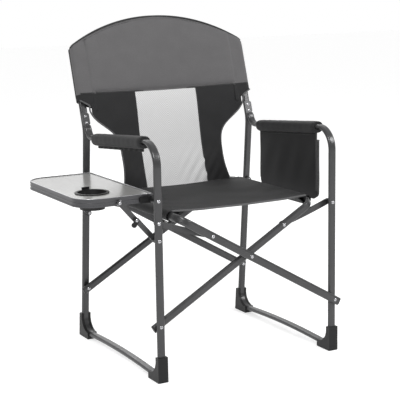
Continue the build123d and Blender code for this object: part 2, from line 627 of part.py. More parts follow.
for side, sign in SIDES.items():
    inner = sign * BACK_STRIP_HALF
    edge = sign * PANEL_EDGE
    with BuildPart() as back_upper:
        with BuildSketch(back_plane):
            with BuildLine():
                Polyline([
                    (inner, arch_height(inner)), (inner, BACK_SEAM),
                    (edge, BACK_SEAM), (edge, arch_height(edge)),
                ])
                middle_x = (inner + edge) / 2
                ThreePointArc(
                    (edge, arch_height(edge)), (middle_x, arch_height(middle_x)), (inner, arch_height(inner))
                )
            make_face()
        extrude(amount=BACK_THICKNESS)
        post_sleeve(sign, BACK_SEAM, POST_LENGTH)
    back_upper.part.label = f"back_upper_{side}"
    export_step(back_upper.part, f"parts/back_upper_{side}.step")

    with BuildPart() as back_lower:
        with BuildSketch(back_plane):
            with BuildLine():
                foot = (sign * (WAIST_HALF + WAIST_FOOT), BACK_BOTTOM)
                waist_top = (sign * (PANEL_EDGE - WAIST_INSET), WAIST_TOP)
                Spline(
                    foot,
                    (sign * WAIST_HALF, BACK_BOTTOM / 2),
                    (sign * (WAIST_HALF + WAIST_FLARE), WAIST_FLARE_HEIGHT),
                    waist_top,
                )
                Polyline([
                    waist_top, (edge, SLEEVE_START), (edge, BACK_SEAM),
                    (inner, BACK_SEAM), (inner, BACK_BOTTOM), foot,
                ])
            make_face()
        extrude(amount=BACK_THICKNESS)
        post_sleeve(sign, SLEEVE_START, BACK_SEAM)
    back_lower.part.label = f"back_lower_{side}"
    export_step(back_lower.part, f"parts/back_lower_{side}.step")

STRIP_EDGE = BACK_STRIP_HALF - STRIP_GAP
with BuildPart() as back_upper_centre:
    with BuildSketch(back_plane):
        with BuildLine():
            Polyline([
                (-STRIP_EDGE, arch_height(STRIP_EDGE)), (-STRIP_EDGE, BACK_SEAM),
                (STRIP_EDGE, BACK_SEAM), (STRIP_EDGE, arch_height(STRIP_EDGE)),
            ])
            ThreePointArc(
                (STRIP_EDGE, arch_height(STRIP_EDGE)),
                (0, arch_height(0)),
                (-STRIP_EDGE, arch_height(STRIP_EDGE)),
            )
        make_face()
    extrude(amount=BACK_THICKNESS)
back_upper_centre.part.label = "back_upper_centre"
export_step(back_upper_centre.part, "parts/back_upper_centre.step")

with BuildPart() as back_mesh:
    with BuildSketch(back_plane):
        with Locations((0, (BACK_BOTTOM + BACK_SEAM) / 2)):
            Rectangle(2 * STRIP_EDGE, BACK_SEAM - BACK_BOTTOM)
    extrude(amount=BACK_THICKNESS)
back_mesh.part.label = "back_mesh"
export_step(back_mesh.part, "parts/back_mesh.step")

# ================================================================ storage pouch
POUCH_X = MID_X + FRAME_HALF
pouch_top_front = armrest_z(MID_Y + POUCH_FRONT) - POUCH_HANG
pouch_top_rear = armrest_z(MID_Y + POUCH_REAR) - POUCH_HANG
with BuildPart() as pouch:
    with BuildSketch(Plane.YZ.offset(POUCH_X - POUCH_THICKNESS / 2)):
        with BuildLine():
            Polyline([
                (MID_Y + POUCH_FRONT, POUCH_BOTTOM), (MID_Y + POUCH_REAR, POUCH_BOTTOM),
                (MID_Y + POUCH_REAR, pouch_top_rear), (MID_Y + POUCH_FRONT, pouch_top_front),
                (MID_Y + POUCH_FRONT, POUCH_BOTTOM),
            ])
        outline = make_face()
        fillet(outline.vertices().group_by(Axis.Z)[0], POUCH_CORNER)
    extrude(amount=POUCH_THICKNESS)
    # Inside of the pocket, open at the top.
    with BuildSketch(Plane.YZ.offset(POUCH_X - POUCH_THICKNESS / 2 + POUCH_WALL)):
        with Locations((MID_Y + (POUCH_FRONT + POUCH_REAR) / 2, POUCH_BOTTOM + POUCH_WALL)):
            Rectangle(
                POUCH_REAR - POUCH_FRONT - 2 * POUCH_WALL, 2 * ARM_FRONT_HEIGHT,
                align=(Align.CENTER, Align.MIN),
            )
    extrude(amount=POUCH_THICKNESS - 2 * POUCH_WALL, mode=Mode.SUBTRACT)
    # The outer panel ends lower than the panel that hangs from the sleeve.
    with BuildSketch(Plane.YZ.offset(POUCH_X - POUCH_THICKNESS / 2 + POUCH_WALL)):
        with BuildLine():
            Polyline([
                (MID_Y + POUCH_FRONT, pouch_top_front - POUCH_MOUTH),
                (MID_Y + POUCH_REAR, pouch_top_rear - POUCH_MOUTH),
                (MID_Y + POUCH_REAR, ARM_FRONT_HEIGHT), (MID_Y + POUCH_FRONT, ARM_FRONT_HEIGHT),
                (MID_Y + POUCH_FRONT, pouch_top_front - POUCH_MOUTH),
            ])
        make_face()
    extrude(amount=POUCH_THICKNESS, mode=Mode.SUBTRACT)
pouch.part.label = "storage_pouch"
export_step(pouch.part, "parts/storage_pouch.step")

# ================================================================ side table
HINGE_X = MID_X - FRAME_HALF
table_x = MID_X - (TABLE_REACH + TABLE_INNER) / 2
table_y = MID_Y + (TABLE_FRONT + TABLE_REAR) / 2
table_width = TABLE_REACH - TABLE_INNER
table_length = TABLE_REAR - TABLE_FRONT
cup_x = MID_X + CUP_X
cup_y = MID_Y + CUP_Y
BOARD_TOP = TABLE_TOP - BOARD_DROP


def table_outline(grow):
    """The table's rounded outline, added to the open sketch, larger all round by grow."""
    with Locations((table_x, table_y)):
        shape = Rectangle(table_width + 2 * grow, table_length + 2 * grow)
    fillet(shape.vertices().group_by(Axis.X)[0], RIM_OUTER_CORNER + grow)
    fillet(shape.vertices().group_by(Axis.X)[-1], RIM_INNER_CORNER + grow)


def rim_band(low, high, grow):
    """One band of the edge trim between two heights, added to the open part."""
    with BuildSketch(Plane.XY.offset(low)) as outline:
        table_outline(grow)
    extrude(outline.sketch, amount=high - low)


with BuildPart() as table_rim:
    rim_low = TABLE_TOP - RIM_HEIGHT
    rim_band(rim_low, rim_low + RIM_LIP_HEIGHT, 0)
    rim_band(rim_low, TABLE_TOP, -RIM_LIP)
    rim_band(TABLE_TOP - RIM_LIP_HEIGHT, TABLE_TOP, 0)
    with BuildSketch(Plane.XY.offset(rim_low)):
        table_outline(-RIM_WALL - RIM_LIP)
    extrude(amount=RIM_HEIGHT, mode=Mode.SUBTRACT)
    for hole_y in (MID_Y + TABLE_FRONT, MID_Y + TABLE_REAR):
        across_y(
            HINGE_X - STAY_REACH, TABLE_HINGE_HEIGHT, hole_y - 2 * RIM_WALL, hole_y + 2 * RIM_WALL,
            HOLE_RADIUS, Mode.SUBTRACT,
        )
table_rim.part.label = "table_rim"
export_step(table_rim.part, "parts/table_rim.step")

with BuildPart() as table_board:
    with BuildSketch(Plane.XY.offset(BOARD_TOP - BOARD_THICKNESS)):
        table_outline(-RIM_WALL - RIM_LIP - SEATING)
        with Locations((cup_x, cup_y)):
            Circle(CUP_HOLE_RADIUS, mode=Mode.SUBTRACT)
    extrude(amount=BOARD_THICKNESS)
table_board.part.label = "table_board"
export_step(table_board.part, "parts/table_board.step")

with BuildPart() as cup_holder:
    with BuildSketch(Plane(origin=(cup_x, cup_y, 0), x_dir=(1, 0, 0), z_dir=(0, -1, 0))):
        with BuildLine():
            Polyline([
                (0, TABLE_TOP - CUP_DEPTH), (CUP_BOTTOM_RADIUS, TABLE_TOP - CUP_DEPTH),
                (CUP_NECK_RADIUS, BOARD_TOP + SEATING), (CUP_FLANGE_RADIUS, BOARD_TOP + SEATING),
                (CUP_FLANGE_RADIUS, BOARD_TOP + CUP_FLANGE),
                (CUP_NECK_RADIUS - CUP_WALL, BOARD_TOP + CUP_FLANGE),
                (CUP_BOTTOM_RADIUS - CUP_WALL, TABLE_TOP - CUP_DEPTH + CUP_WALL),
                (0, TABLE_TOP - CUP_DEPTH + CUP_WALL), (0, TABLE_TOP - CUP_DEPTH),
            ])
        make_face()
    revolve(axis=Axis((cup_x, cup_y, 0), (0, 0, 1)))
    with BuildSketch(Plane.XY.offset(BOARD_TOP + CUP_FLANGE)):
        with Locations((cup_x, cup_y + CUP_FLANGE_RADIUS - CUP_TAB[1] / 2)):
            Rectangle(CUP_TAB[0], CUP_TAB[1] / 2)
    extrude(amount=CUP_TAB[2])
cup_holder.part.label = "cup_holder"
export_step(cup_holder.part, "parts/cup_holder.step")

# Folding stays. The upper and lower parts lie along each other when the table hangs down.
STAY_DROP = TABLE_HINGE_HEIGHT - STAY_PIVOT_HEIGHT
STAY_TOTAL = hypot(STAY_REACH, STAY_DROP)
LOWER_STAY = (STAY_TOTAL + STAY_DROP - STAY_REACH) / 2
stay_dir = Vector(-STAY_REACH, 0, STAY_DROP).normalized()
stay_low = Vector(HINGE_X, 0, STAY_PIVOT_HEIGHT)
stay_top = Vector(HINGE_X - STAY_REACH, 0, TABLE_HINGE_HEIGHT)
knuckle = stay_low + stay_dir * LOWER_STAY
stop_side = Vector(0, 1, 0).cross(stay_dir)
if stop_side.Z > 0:
    stop_side = stop_side * -1
stop = knuckle - stay_dir * STOP_BELOW + stop_side * (STAY_WIDTH / 2 + STOP_RADIUS + SEAT_GAP)
WASHER = BRACKET_PLATE + 1.0


def stay_bar(low, high, y_from, y_to):
    """A flat round-ended bar between two pivots, added to the open part."""
    middle = (low + high) * 0.5
    length = (high - low).length
    x_dir = (high - low).normalized()
    with BuildSketch(Plane(origin=(middle.X, y_from, middle.Z), x_dir=x_dir, z_dir=(0, 1, 0))) as bar:
        SlotCenterToCenter(length, STAY_WIDTH)
    extrude(bar.sketch, amount=y_to - y_from)


for end, rim_y, out in (("front", MID_Y + TABLE_FRONT, -1), ("rear", MID_Y + TABLE_REAR, 1)):
    upper_y = sorted((rim_y + out * WASHER, rim_y + out * (WASHER + STAY_DEPTH)))
    lower_face = rim_y + out * (WASHER + STAY_DEPTH + STAY_SPACE)
    lower_y = sorted((lower_face, lower_face + out * STAY_DEPTH))
    boss_face = lower_face - out * (STAY_SPACE - SEAT_GAP)
    if out < 0:
        leg_face = FRONT_LEG_Y + HALF_DEPTH
        hinge_face = leg_face
        face_room = SEAT_GAP
    else:
        leg_face = rear_leg_y(STAY_PIVOT_HEIGHT) - HALF_DEPTH
        hinge_face = rear_leg_y(TABLE_HINGE_HEIGHT) - HALF_DEPTH
        face_room = SEAT_GAP + BUSH_RADIUS * LEAN
    leg_back = leg_face + out * (TUBE_DEPTH + face_room)
    hinge_back = hinge_face + out * (TUBE_DEPTH + face_room)

    with BuildPart() as upper_stay:
        stay_bar(knuckle, stay_top, *upper_y)
        across_y(stay_top.X, stay_top.Z, upper_y[0] - 1, upper_y[1] + 1, HOLE_RADIUS, Mode.SUBTRACT)
    upper_stay.part.label = f"upper_stay_{end}"
    export_step(upper_stay.part, f"parts/upper_stay_{end}.step")

    with BuildPart() as lower_stay:
        stay_bar(stay_low, knuckle, *lower_y)
        across_y(knuckle.X, knuckle.Z, *sorted((lower_face, boss_face)), KNUCKLE_RADIUS)
        across_y(stay_low.X, stay_low.Z, lower_y[0] - 1, lower_y[1] + 1, HOLE_RADIUS, Mode.SUBTRACT)
        hole_y = sorted((boss_face - out, lower_face + out * 2 * STAY_DEPTH))
        across_y(knuckle.X, knuckle.Z, *hole_y, HOLE_RADIUS, Mode.SUBTRACT)
    lower_stay.part.label = f"lower_stay_{end}"
    export_step(lower_stay.part, f"parts/lower_stay_{end}.step")

    # Black plastic stop under the knuckle, on the lower stay.
    lug_face = lower_face + out * (STAY_DEPTH + SEATING)
    lug_y = sorted((lug_face, lug_face + out * STOP_LUG))
    with BuildPart() as stay_stop:
        across_y(stop.X, stop.Z, *sorted((lower_face, lug_face)), STOP_RADIUS)
        lug_middle = (stop + knuckle) * 0.5
        lug_angle = degrees(atan2(knuckle.Z - stop.Z, knuckle.X - stop.X))
        with BuildSketch(Plane(origin=(0, lug_y[0], 0), x_dir=(1, 0, 0), z_dir=(0, -1, 0))):
            with Locations(Location((lug_middle.X, lug_middle.Z), lug_angle)):
                SlotCenterToCenter((knuckle - stop).length, 2 * STOP_RADIUS)
        extrude(amount=-STOP_LUG)
        across_y(knuckle.X, knuckle.Z, lug_y[0] - 1, lug_y[1] + 1, HOLE_RADIUS, Mode.SUBTRACT)
    stay_stop.part.label = f"stay_stop_{end}"
    export_step(stay_stop.part, f"parts/stay_stop_{end}.step")

    # Hinge bracket: a plate on the trim and a boss that turns on the leg's rivet.
    plate_y = sorted((rim_y, rim_y + out * BRACKET_PLATE))
    with BuildPart() as bracket:
        with BuildSketch(Plane(origin=(0, plate_y[0], 0), x_dir=(1, 0, 0), z_dir=(0, -1, 0))):
            with Locations((HINGE_X + BUSH_RADIUS - BRACKET_LENGTH / 2, TABLE_HINGE_HEIGHT)):
                plate = Rectangle(BRACKET_LENGTH, 2 * BUSH_RADIUS)
            fillet(plate.vertices(), BUSH_RADIUS / 2)
        extrude(amount=-BRACKET_PLATE)
        boss_end = hinge_face - out * face_room
        boss_y = sorted((rim_y, boss_end))
        across_y(HINGE_X, TABLE_HINGE_HEIGHT, *boss_y, BUSH_RADIUS)
        across_y(HINGE_X, TABLE_HINGE_HEIGHT, boss_y[0] - 1, boss_y[1] + 1, HOLE_RADIUS, Mode.SUBTRACT)
    bracket.part.label = f"table_bracket_{end}"
    export_step(bracket.part, f"parts/table_bracket_{end}.step")

    # Rivets on the leg, for the table's hinge and the lower stay.
    with BuildPart() as leg_pins:
        hinge_head = hinge_face + out * (TUBE_DEPTH + face_room)
        hinge_tail = rim_y + out * SEAT_GAP
        rivet((HINGE_X, hinge_head, TABLE_HINGE_HEIGHT), (HINGE_X, hinge_tail, TABLE_HINGE_HEIGHT), 0)
        leg_head = leg_face + out * (TUBE_DEPTH + face_room)
        rivet(
            (HINGE_X, leg_head, STAY_PIVOT_HEIGHT), (HINGE_X, lower_face - out * SEAT_GAP, STAY_PIVOT_HEIGHT),
            STAY_DEPTH / 2,
        )
    leg_pins.part.label = f"table_leg_rivets_{end}"
    export_step(leg_pins.part, f"parts/table_leg_rivets_{end}.step")

    with BuildPart() as stay_bush:
        bush_near = lower_face + out * (STAY_DEPTH + SEAT_GAP)
        bush(HINGE_X, STAY_PIVOT_HEIGHT, *sorted((bush_near, leg_face - out * face_room)))
    stay_bush.part.label = f"stay_bush_{end}"
    export_step(stay_bush.part, f"parts/stay_bush_{end}.step")

    # Rivet of the upper stay on the table's trim, with its washer.
    with BuildPart() as table_rivets:
        rim_inside = rim_y - out * (RIM_WALL + RIM_LIP + 2 * SEATING)
        stay_head = rim_y + out * (WASHER + STAY_DEPTH + SEAT_GAP)
        rivet((stay_top.X, stay_head, stay_top.Z), (stay_top.X, rim_inside, stay_top.Z))
        washer_y = sorted((rim_y + out * SEATING, rim_y + out * (WASHER - 2 * SEATING)))
        bush(stay_top.X, stay_top.Z, *washer_y)
    table_rivets.part.label = f"table_rivets_{end}"
    export_step(table_rivets.part, f"parts/table_rivets_{end}.step")

    # The knuckle's rivet ends at the face between the two parts of the stay.
    with BuildPart() as knuckle_rivet:
        knuckle_head = lug_face + out * (STOP_LUG + SEATING)
        rivet((knuckle.X, knuckle_head, knuckle.Z), (knuckle.X, boss_face, knuckle.Z), 0)
    knuckle_rivet.part.label = f"knuckle_rivet_{end}"
    export_step(knuckle_rivet.part, f"parts/knuckle_rivet_{end}.step")

# ================================================================ caps on the back posts
for side, sign in SIDES.items():
    with BuildPart() as post_cap:
        cap_x = MID_X + sign * FRAME_HALF
        with BuildSketch(Plane(origin=on_post(POST_LENGTH, 0, cap_x), x_dir=(1, 0, 0), z_dir=POST_UP)):
            SlotOverall(TUBE_WIDTH, TUBE_DEPTH)
        extrude(amount=PLUG_FLANGE)
        with BuildSketch(Plane(origin=on_post(POST_LENGTH, 0, cap_x), x_dir=(1, 0, 0), z_dir=-POST_UP)):
            SlotOverall(PLUG_WIDTH, PLUG_DEPTH)
        extrude(amount=PLUG_LENGTH)
    post_cap.part.label = f"post_cap_{side}"
    export_step(post_cap.part, f"parts/post_cap_{side}.step")
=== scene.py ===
"""Looks of a folding camp chair with a side table, a storage pouch and a fabric seat and back.

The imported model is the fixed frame. Its tubes, boots, rivets, table and brackets keep their own
meshes and get finishes here. The seat, back, armrest pads and pouch are built as cloth.
Lengths are in metres. The chair's width is X, its depth Y with the sitter facing -Y, and Z is up.
"Left" is the table's side, -X, and "right" is the pouch's side, +X.
"""

import json
import logging
import math

import bmesh
import bpy
import numpy as np
from dataclasses import dataclass
from enum import Enum
from mathutils import Matrix, Vector


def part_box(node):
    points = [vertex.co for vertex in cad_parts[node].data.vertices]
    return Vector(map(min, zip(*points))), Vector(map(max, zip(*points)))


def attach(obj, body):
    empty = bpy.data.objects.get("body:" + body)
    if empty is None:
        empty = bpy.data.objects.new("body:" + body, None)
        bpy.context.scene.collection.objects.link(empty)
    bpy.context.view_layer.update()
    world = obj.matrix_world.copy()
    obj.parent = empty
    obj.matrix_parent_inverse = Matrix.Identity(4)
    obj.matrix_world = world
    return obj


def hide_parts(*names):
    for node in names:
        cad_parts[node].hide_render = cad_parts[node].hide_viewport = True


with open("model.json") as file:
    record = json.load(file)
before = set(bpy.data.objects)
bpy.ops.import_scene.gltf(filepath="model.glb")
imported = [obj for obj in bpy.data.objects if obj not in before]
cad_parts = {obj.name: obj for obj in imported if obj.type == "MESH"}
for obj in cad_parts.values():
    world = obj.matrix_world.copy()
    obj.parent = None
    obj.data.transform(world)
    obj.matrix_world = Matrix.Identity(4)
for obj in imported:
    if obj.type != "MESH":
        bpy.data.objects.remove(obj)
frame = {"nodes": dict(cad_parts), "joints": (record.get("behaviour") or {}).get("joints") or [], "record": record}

LOG = logging.getLogger("camp_chair")
MM = 0.001
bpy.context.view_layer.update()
JOINTS = {joint["name"]: joint for joint in frame["joints"]}
SLOT_OF = {part["node"]: part["material_slot"] for part in frame["record"]["subparts"]}


class Side(Enum):
    """The two sides of the chair, as the sign of X from its middle."""

    LEFT = -1
    RIGHT = 1

    @property
    def word(self) -> str:
        """The side's name as pieces and bodies spell it."""
        return self.name.lower()


# ---------------------------------------------------------------- colour and node helpers
def linear(code: str) -> tuple[float, float, float, float]:
    """Turn an sRGB hex colour into a linear RGBA tuple.

    Args:
        code: The colour as "#rrggbb".

    Returns:
        Linear red, green, blue and an alpha of 1.
    """
    parts = [int(code[i : i + 2], 16) / 255 for i in (1, 3, 5)]
    red, green, blue = [c / 12.92 if c <= 0.04045 else ((c + 0.055) / 1.055) ** 2.4 for c in parts]
    return red, green, blue, 1.0


def add_node(
    tree: bpy.types.NodeTree, kind: str, inputs: dict | None = None, **settings: object
) -> bpy.types.Node:
    """Add one node with its settings and its links.

    Args:
        tree: The node tree that the node joins.
        kind: The node's type name.
        inputs: Socket name or number to a value or to an output socket.
        **settings: Properties of the node itself.

    Returns:
        The new node.
    """
    node = tree.nodes.new(kind)
    for name, value in settings.items():
        setattr(node, name, value)
    for key, value in (inputs or {}).items():
        if isinstance(value, bpy.types.NodeSocket):
            tree.links.new(value, node.inputs[key])
        else:
            node.inputs[key].default_value = value
    return node


def noise(
    tree: bpy.types.NodeTree, place: bpy.types.NodeSocket, size: float, detail: float
) -> bpy.types.NodeSocket:
    """Add a noise pattern.

    Args:
        tree: The node tree.
        place: Coordinates to read it at.
        size: Size of one cell, in metres.
        detail: Number of finer layers.

    Returns:
        The noise's output, 0..1.
    """
    node = add_node(tree, "ShaderNodeTexNoise", {"Vector": place, "Scale": 1 / size, "Detail": detail})
    return node.outputs["Fac"]


def math_node(
    tree: bpy.types.NodeTree,
    operation: str,
    first: bpy.types.NodeSocket,
    second: bpy.types.NodeSocket | float = 0.0,
) -> bpy.types.NodeSocket:
    """Add one arithmetic node and give its output."""
    return add_node(tree, "ShaderNodeMath", {0: first, 1: second}, operation=operation).outputs[0]


@dataclass(frozen=True)
class Finish:
    """A surface finish. Each kind adds its own pattern to one shader.

    Attributes:
        name: The material's name.
        colour: Main sRGB colour.
        shade: Second sRGB colour that the pattern mixes in.
    """

    name: str
    colour: str
    shade: str

    def build(self) -> bpy.types.Material:
        """Make the material, once.

        Returns:
            The material with this finish's nodes.
        """
        known = bpy.data.materials.get(self.name)
        if known:
            return known
        material = bpy.data.materials.new(self.name)
        material.use_nodes = True
        tree = material.node_tree
        tree.nodes.clear()
        shader = add_node(tree, "ShaderNodeBsdfPrincipled")
        self.pattern(tree, shader)
        add_node(tree, "ShaderNodeOutputMaterial", {"Surface": shader.outputs[0]})
        return material

    def pattern(self, tree: bpy.types.NodeTree, shader: bpy.types.Node) -> None:
        """Wire the finish's colour, roughness and bump into the shader."""
        raise NotImplementedError

    def mix(
        self, tree: bpy.types.NodeTree, factor: bpy.types.NodeSocket, first: str, second: str
    ) -> bpy.types.NodeSocket:
        """Mix two sRGB colours by a factor.

        Args:
            tree: The node tree.
            factor: Output that gives the share of the second colour.
            first: Colour where the factor is 0.
            second: Colour where the factor is 1.

        Returns:
            The mixed colour's output.
        """
        colours = {0: factor, 6: linear(first), 7: linear(second)}
        node = add_node(tree, "ShaderNodeMix", colours, data_type="RGBA")
        return node.outputs[2]

    def spread(
        self, tree: bpy.types.NodeTree, value: bpy.types.NodeSocket, low: float, high: float
    ) -> bpy.types.NodeSocket:
        """Map 0..1 to a range.

        Args:
            tree: The node tree.
            value: Output to map.
            low: Result at 0.
            high: Result at 1.

        Returns:
            The mapped output.
        """
        node = add_node(tree, "ShaderNodeMapRange", {"Value": value, "To Min": low, "To Max": high})
        return node.outputs["Result"]


@dataclass(frozen=True)
class PowderCoat(Finish):
    """Epoxy-polyester powder coat baked on steel tube: a fine orange-peel grain and a soft broad gloss."""

    grain: float = 1.6 * MM    # real grain is about 0.4 mm, drawn coarser so that it shows

    def pattern(self, tree: bpy.types.NodeTree, shader: bpy.types.Node) -> None:
        """Grain bump, and a slow drift in tone and in roughness."""
        place = add_node(tree, "ShaderNodeTexCoord").outputs["Object"]
        grain = noise(tree, place, self.grain, 3.0)
        drift = noise(tree, place, 60 * MM, 2.0)
        tone = math_node(tree, "MULTIPLY", grain, drift)
        tree.links.new(
            self.mix(tree, self.spread(tree, tone, 0.0, 1.8), self.colour, self.shade),
            shader.inputs["Base Color"],
        )
        tree.links.new(self.spread(tree, drift, 0.24, 0.36), shader.inputs["Roughness"])
        bump = add_node(tree, "ShaderNodeBump", {"Height": grain, "Strength": 0.25, "Distance": 0.15 * MM})
        tree.links.new(bump.outputs[0], shader.inputs["Normal"])
        shader.inputs["Metallic"].default_value = 0.45


@dataclass(frozen=True)
class ZincPlate(Finish):
    """Bright zinc-plated steel rivets: mirror-like with faint handling scuffs."""

    scuff: float = 1.2 * MM

    def pattern(self, tree: bpy.types.NodeTree, shader: bpy.types.Node) -> None:
        """Scuffs change the roughness only a little."""
        place = add_node(tree, "ShaderNodeTexCoord").outputs["Object"]
        scuffs = noise(tree, place, self.scuff, 4.0)
        tree.links.new(self.mix(tree, scuffs, self.colour, self.shade), shader.inputs["Base Color"])
        tree.links.new(self.spread(tree, scuffs, 0.16, 0.34), shader.inputs["Roughness"])
        shader.inputs["Metallic"].default_value = 1.0


@dataclass(frozen=True)
class MouldedPlastic(Finish):
    """Injection-moulded polypropylene: a spark-eroded grain that breaks up the highlight."""

    grain: float = 1.0 * MM
    roughness: float = 0.48

    def pattern(self, tree: bpy.types.NodeTree, shader: bpy.types.Node) -> None:
        """Fine grain bump with a few paler rubbed patches."""
        place = add_node(tree, "ShaderNodeTexCoord").outputs["Object"]
        grain = noise(tree, place, self.grain, 2.0)
        rub = noise(tree, place, 22 * MM, 5.0)
        tree.links.new(
            self.mix(tree, self.spread(tree, rub, -0.3, 0.9), self.colour, self.shade),
            shader.inputs["Base Color"],
        )
        tree.links.new(
            self.spread(tree, rub, self.roughness - 0.08, self.roughness + 0.1), shader.inputs["Roughness"]
        )
        bump = add_node(tree, "ShaderNodeBump", {"Height": grain, "Strength": 0.3, "Distance": 0.1 * MM})
        tree.links.new(bump.outputs[0], shader.inputs["Normal"])
        shader.inputs["IOR"].default_value = 1.49
        shader.inputs["Specular IOR Level"].default_value = 0.35


@dataclass(frozen=True)
class WovenCloth(Finish):
    """Plain-woven polyester: warp and weft ridges, a dry sheen, and tone that drifts where it is handled.

    Attributes:
        thread: Spacing of the threads. The real one is about 0.7 mm, drawn coarser so that it shows.
        depth: Height of the ridges.
        sheen: Weight of the fuzz at grazing angles.
    """

    thread: float = 2.2 * MM
    depth: float = 0.25 * MM
    sheen: float = 0.25

    def ridges(self, tree: bpy.types.NodeTree) -> bpy.types.NodeSocket:
        """Height of a plain weave: the product of two sine waves along the cloth's own U and V.

        Returns:
            Output that runs from 0 between threads to 1 on top of one.
        """
        flat = add_node(tree, "ShaderNodeUVMap", uv_map="cloth").outputs[0]
        split = add_node(tree, "ShaderNodeSeparateXYZ", {0: flat})
        waves = []
        for axis in (0, 1):
            turn = math_node(tree, "MULTIPLY", split.outputs[axis], math.pi / self.thread)
            waves.append(math_node(tree, "SINE", turn))
        return self.spread(tree, math_node(tree, "MULTIPLY", *waves), 0.5, 1.0)

    def pattern(self, tree: bpy.types.NodeTree, shader: bpy.types.Node) -> None:
        """Weave and tone drift in colour, weave in the bump, and a sheen. The weave in the colour is painted
        shade: the gaps between threads come out darker.
        """
        weave = self.ridges(tree)
        place = add_node(tree, "ShaderNodeTexCoord").outputs["Object"]
        drift = noise(tree, place, 45 * MM, 4.0)
        fleck = noise(tree, place, 2.5 * MM, 2.0)
        worn = math_node(tree, "MULTIPLY", drift, fleck)
        # Partly painted shade: the weave makes the gaps between threads darker. The drift and fleck are random
        # tone in the cloth.
        tone_and_painted_thread_shade = math_node(tree, "MULTIPLY", worn, weave)
        tree.links.new(
            self.mix(tree, self.spread(tree, tone_and_painted_thread_shade, 0.3, 1.3), self.colour, self.shade),
            shader.inputs["Base Color"],
        )
        tree.links.new(self.spread(tree, weave, 0.92, 0.74), shader.inputs["Roughness"])
        bump = add_node(tree, "ShaderNodeBump", {"Height": weave, "Strength": 0.6, "Distance": self.depth})
        tree.links.new(bump.outputs[0], shader.inputs["Normal"])
        shader.inputs["Sheen Weight"].default_value = self.sheen
        shader.inputs["Sheen Roughness"].default_value = 0.45
        shader.inputs["Specular IOR Level"].default_value = 0.3


@dataclass(frozen=True)
class AirMesh(WovenCloth):
    """Knitted spacer mesh: rows of small round holes, staggered, with painted shade in them for their depth."""

    thread: float = 3.4 * MM
    depth: float = 0.8 * MM
    sheen: float = 0.15

    def pattern(self, tree: bpy.types.NodeTree, shader: bpy.types.Node) -> None:
        """Holes take the second, darker colour as painted shade, and the strands between them stand up."""
        weave = self.ridges(tree)
        hole_painted_shade = add_node(
            tree, "ShaderNodeMapRange",
            {"Value": weave, "From Min": 0.30, "From Max": 0.62, "To Min": 1.0, "To Max": 0.0},
        )
        # The holes' darker colour is painted shade inside the holes.
        tree.links.new(self.mix(tree, hole_painted_shade.outputs[0], self.colour, self.shade), shader.inputs["Base Color"])
        shader.inputs["Roughness"].default_value = 0.8
        bump = add_node(tree, "ShaderNodeBump", {"Height": weave, "Strength": 0.5, "Distance": self.depth})
        tree.links.new(bump.outputs[0], shader.inputs["Normal"])
        shader.inputs["Sheen Weight"].default_value = self.sheen
        shader.inputs["Specular IOR Level"].default_value = 0.3


@dataclass(frozen=True)
class BrushedAluminium(Finish):
    """Anodised aluminium extrusion: long fine die lines and a satin gloss."""

    line: float = 1.5 * MM

    def pattern(self, tree: bpy.types.NodeTree, shader: bpy.types.Node) -> None:
        """Die lines run along Y, so the noise is squeezed across X and Z."""
        place = add_node(tree, "ShaderNodeTexCoord").outputs["Object"]
        long_way = add_node(tree, "ShaderNodeMapping", {"Vector": place, "Scale": (1.0, 0.02, 1.0)})
        lines = noise(tree, long_way.outputs[0], self.line, 3.0)
        tree.links.new(self.mix(tree, lines, self.colour, self.shade), shader.inputs["Base Color"])
        tree.links.new(self.spread(tree, lines, 0.26, 0.44), shader.inputs["Roughness"])
        shader.inputs["Metallic"].default_value = 0.85


@dataclass(frozen=True)
class Laminate(Finish):
    """Printed melamine laminate on thin board: faint straight brush lines under a semi-gloss skin."""

    line: float = 2.4 * MM

    def pattern(self, tree: bpy.types.NodeTree, shader: bpy.types.Node) -> None:
        """Streaks along Y and a light roughness drift."""
        place = add_node(tree, "ShaderNodeTexCoord").outputs["Object"]
        long_way = add_node(tree, "ShaderNodeMapping", {"Vector": place, "Scale": (1.0, 0.03, 1.0)})
        lines = noise(tree, long_way.outputs[0], self.line, 5.0)
        tree.links.new(
            self.mix(tree, self.spread(tree, lines, -0.2, 1.0), self.colour, self.shade),
            shader.inputs["Base Color"],
        )
        drift = noise(tree, place, 80 * MM, 3.0)
        tree.links.new(self.spread(tree, drift, 0.16, 0.28), shader.inputs["Roughness"])
        shader.inputs["IOR"].default_value = 1.52
        shader.inputs["Coat Weight"].default_value = 0.3
        shader.inputs["Coat Roughness"].default_value = 0.12


@dataclass(frozen=True)
class MattePaint(Finish):
    """Flat emulsion on the studio's floor."""

    glow: float = 0.56

    def pattern(self, tree: bpy.types.NodeTree, shader: bpy.types.Node) -> None:
        """One even tone that glows like a light table, so that the floor is as white as the backdrop."""
        shader.inputs["Base Color"].default_value = linear(self.colour)
        shader.inputs["Emission Color"].default_value = linear(self.shade)
        shader.inputs["Emission Strength"].default_value = self.glow
        shader.inputs["Roughness"].default_value = 0.9
        shader.inputs["Specular IOR Level"].default_value = 0.1


TUBE_COAT = PowderCoat("powder_coat_gunmetal", "#3d3d3e", "#4b4b4c")
RIVET_ZINC = ZincPlate("zinc_plated_rivet", "#c8c8ca", "#98989c")
BLACK_MOULDED = MouldedPlastic("moulded_polypropylene_black", "#0b0b0c", "#1c1c1d")
BLACK_CLOTH = WovenCloth("woven_polyester_black", "#141415", "#2f2f30", sheen=0.12)
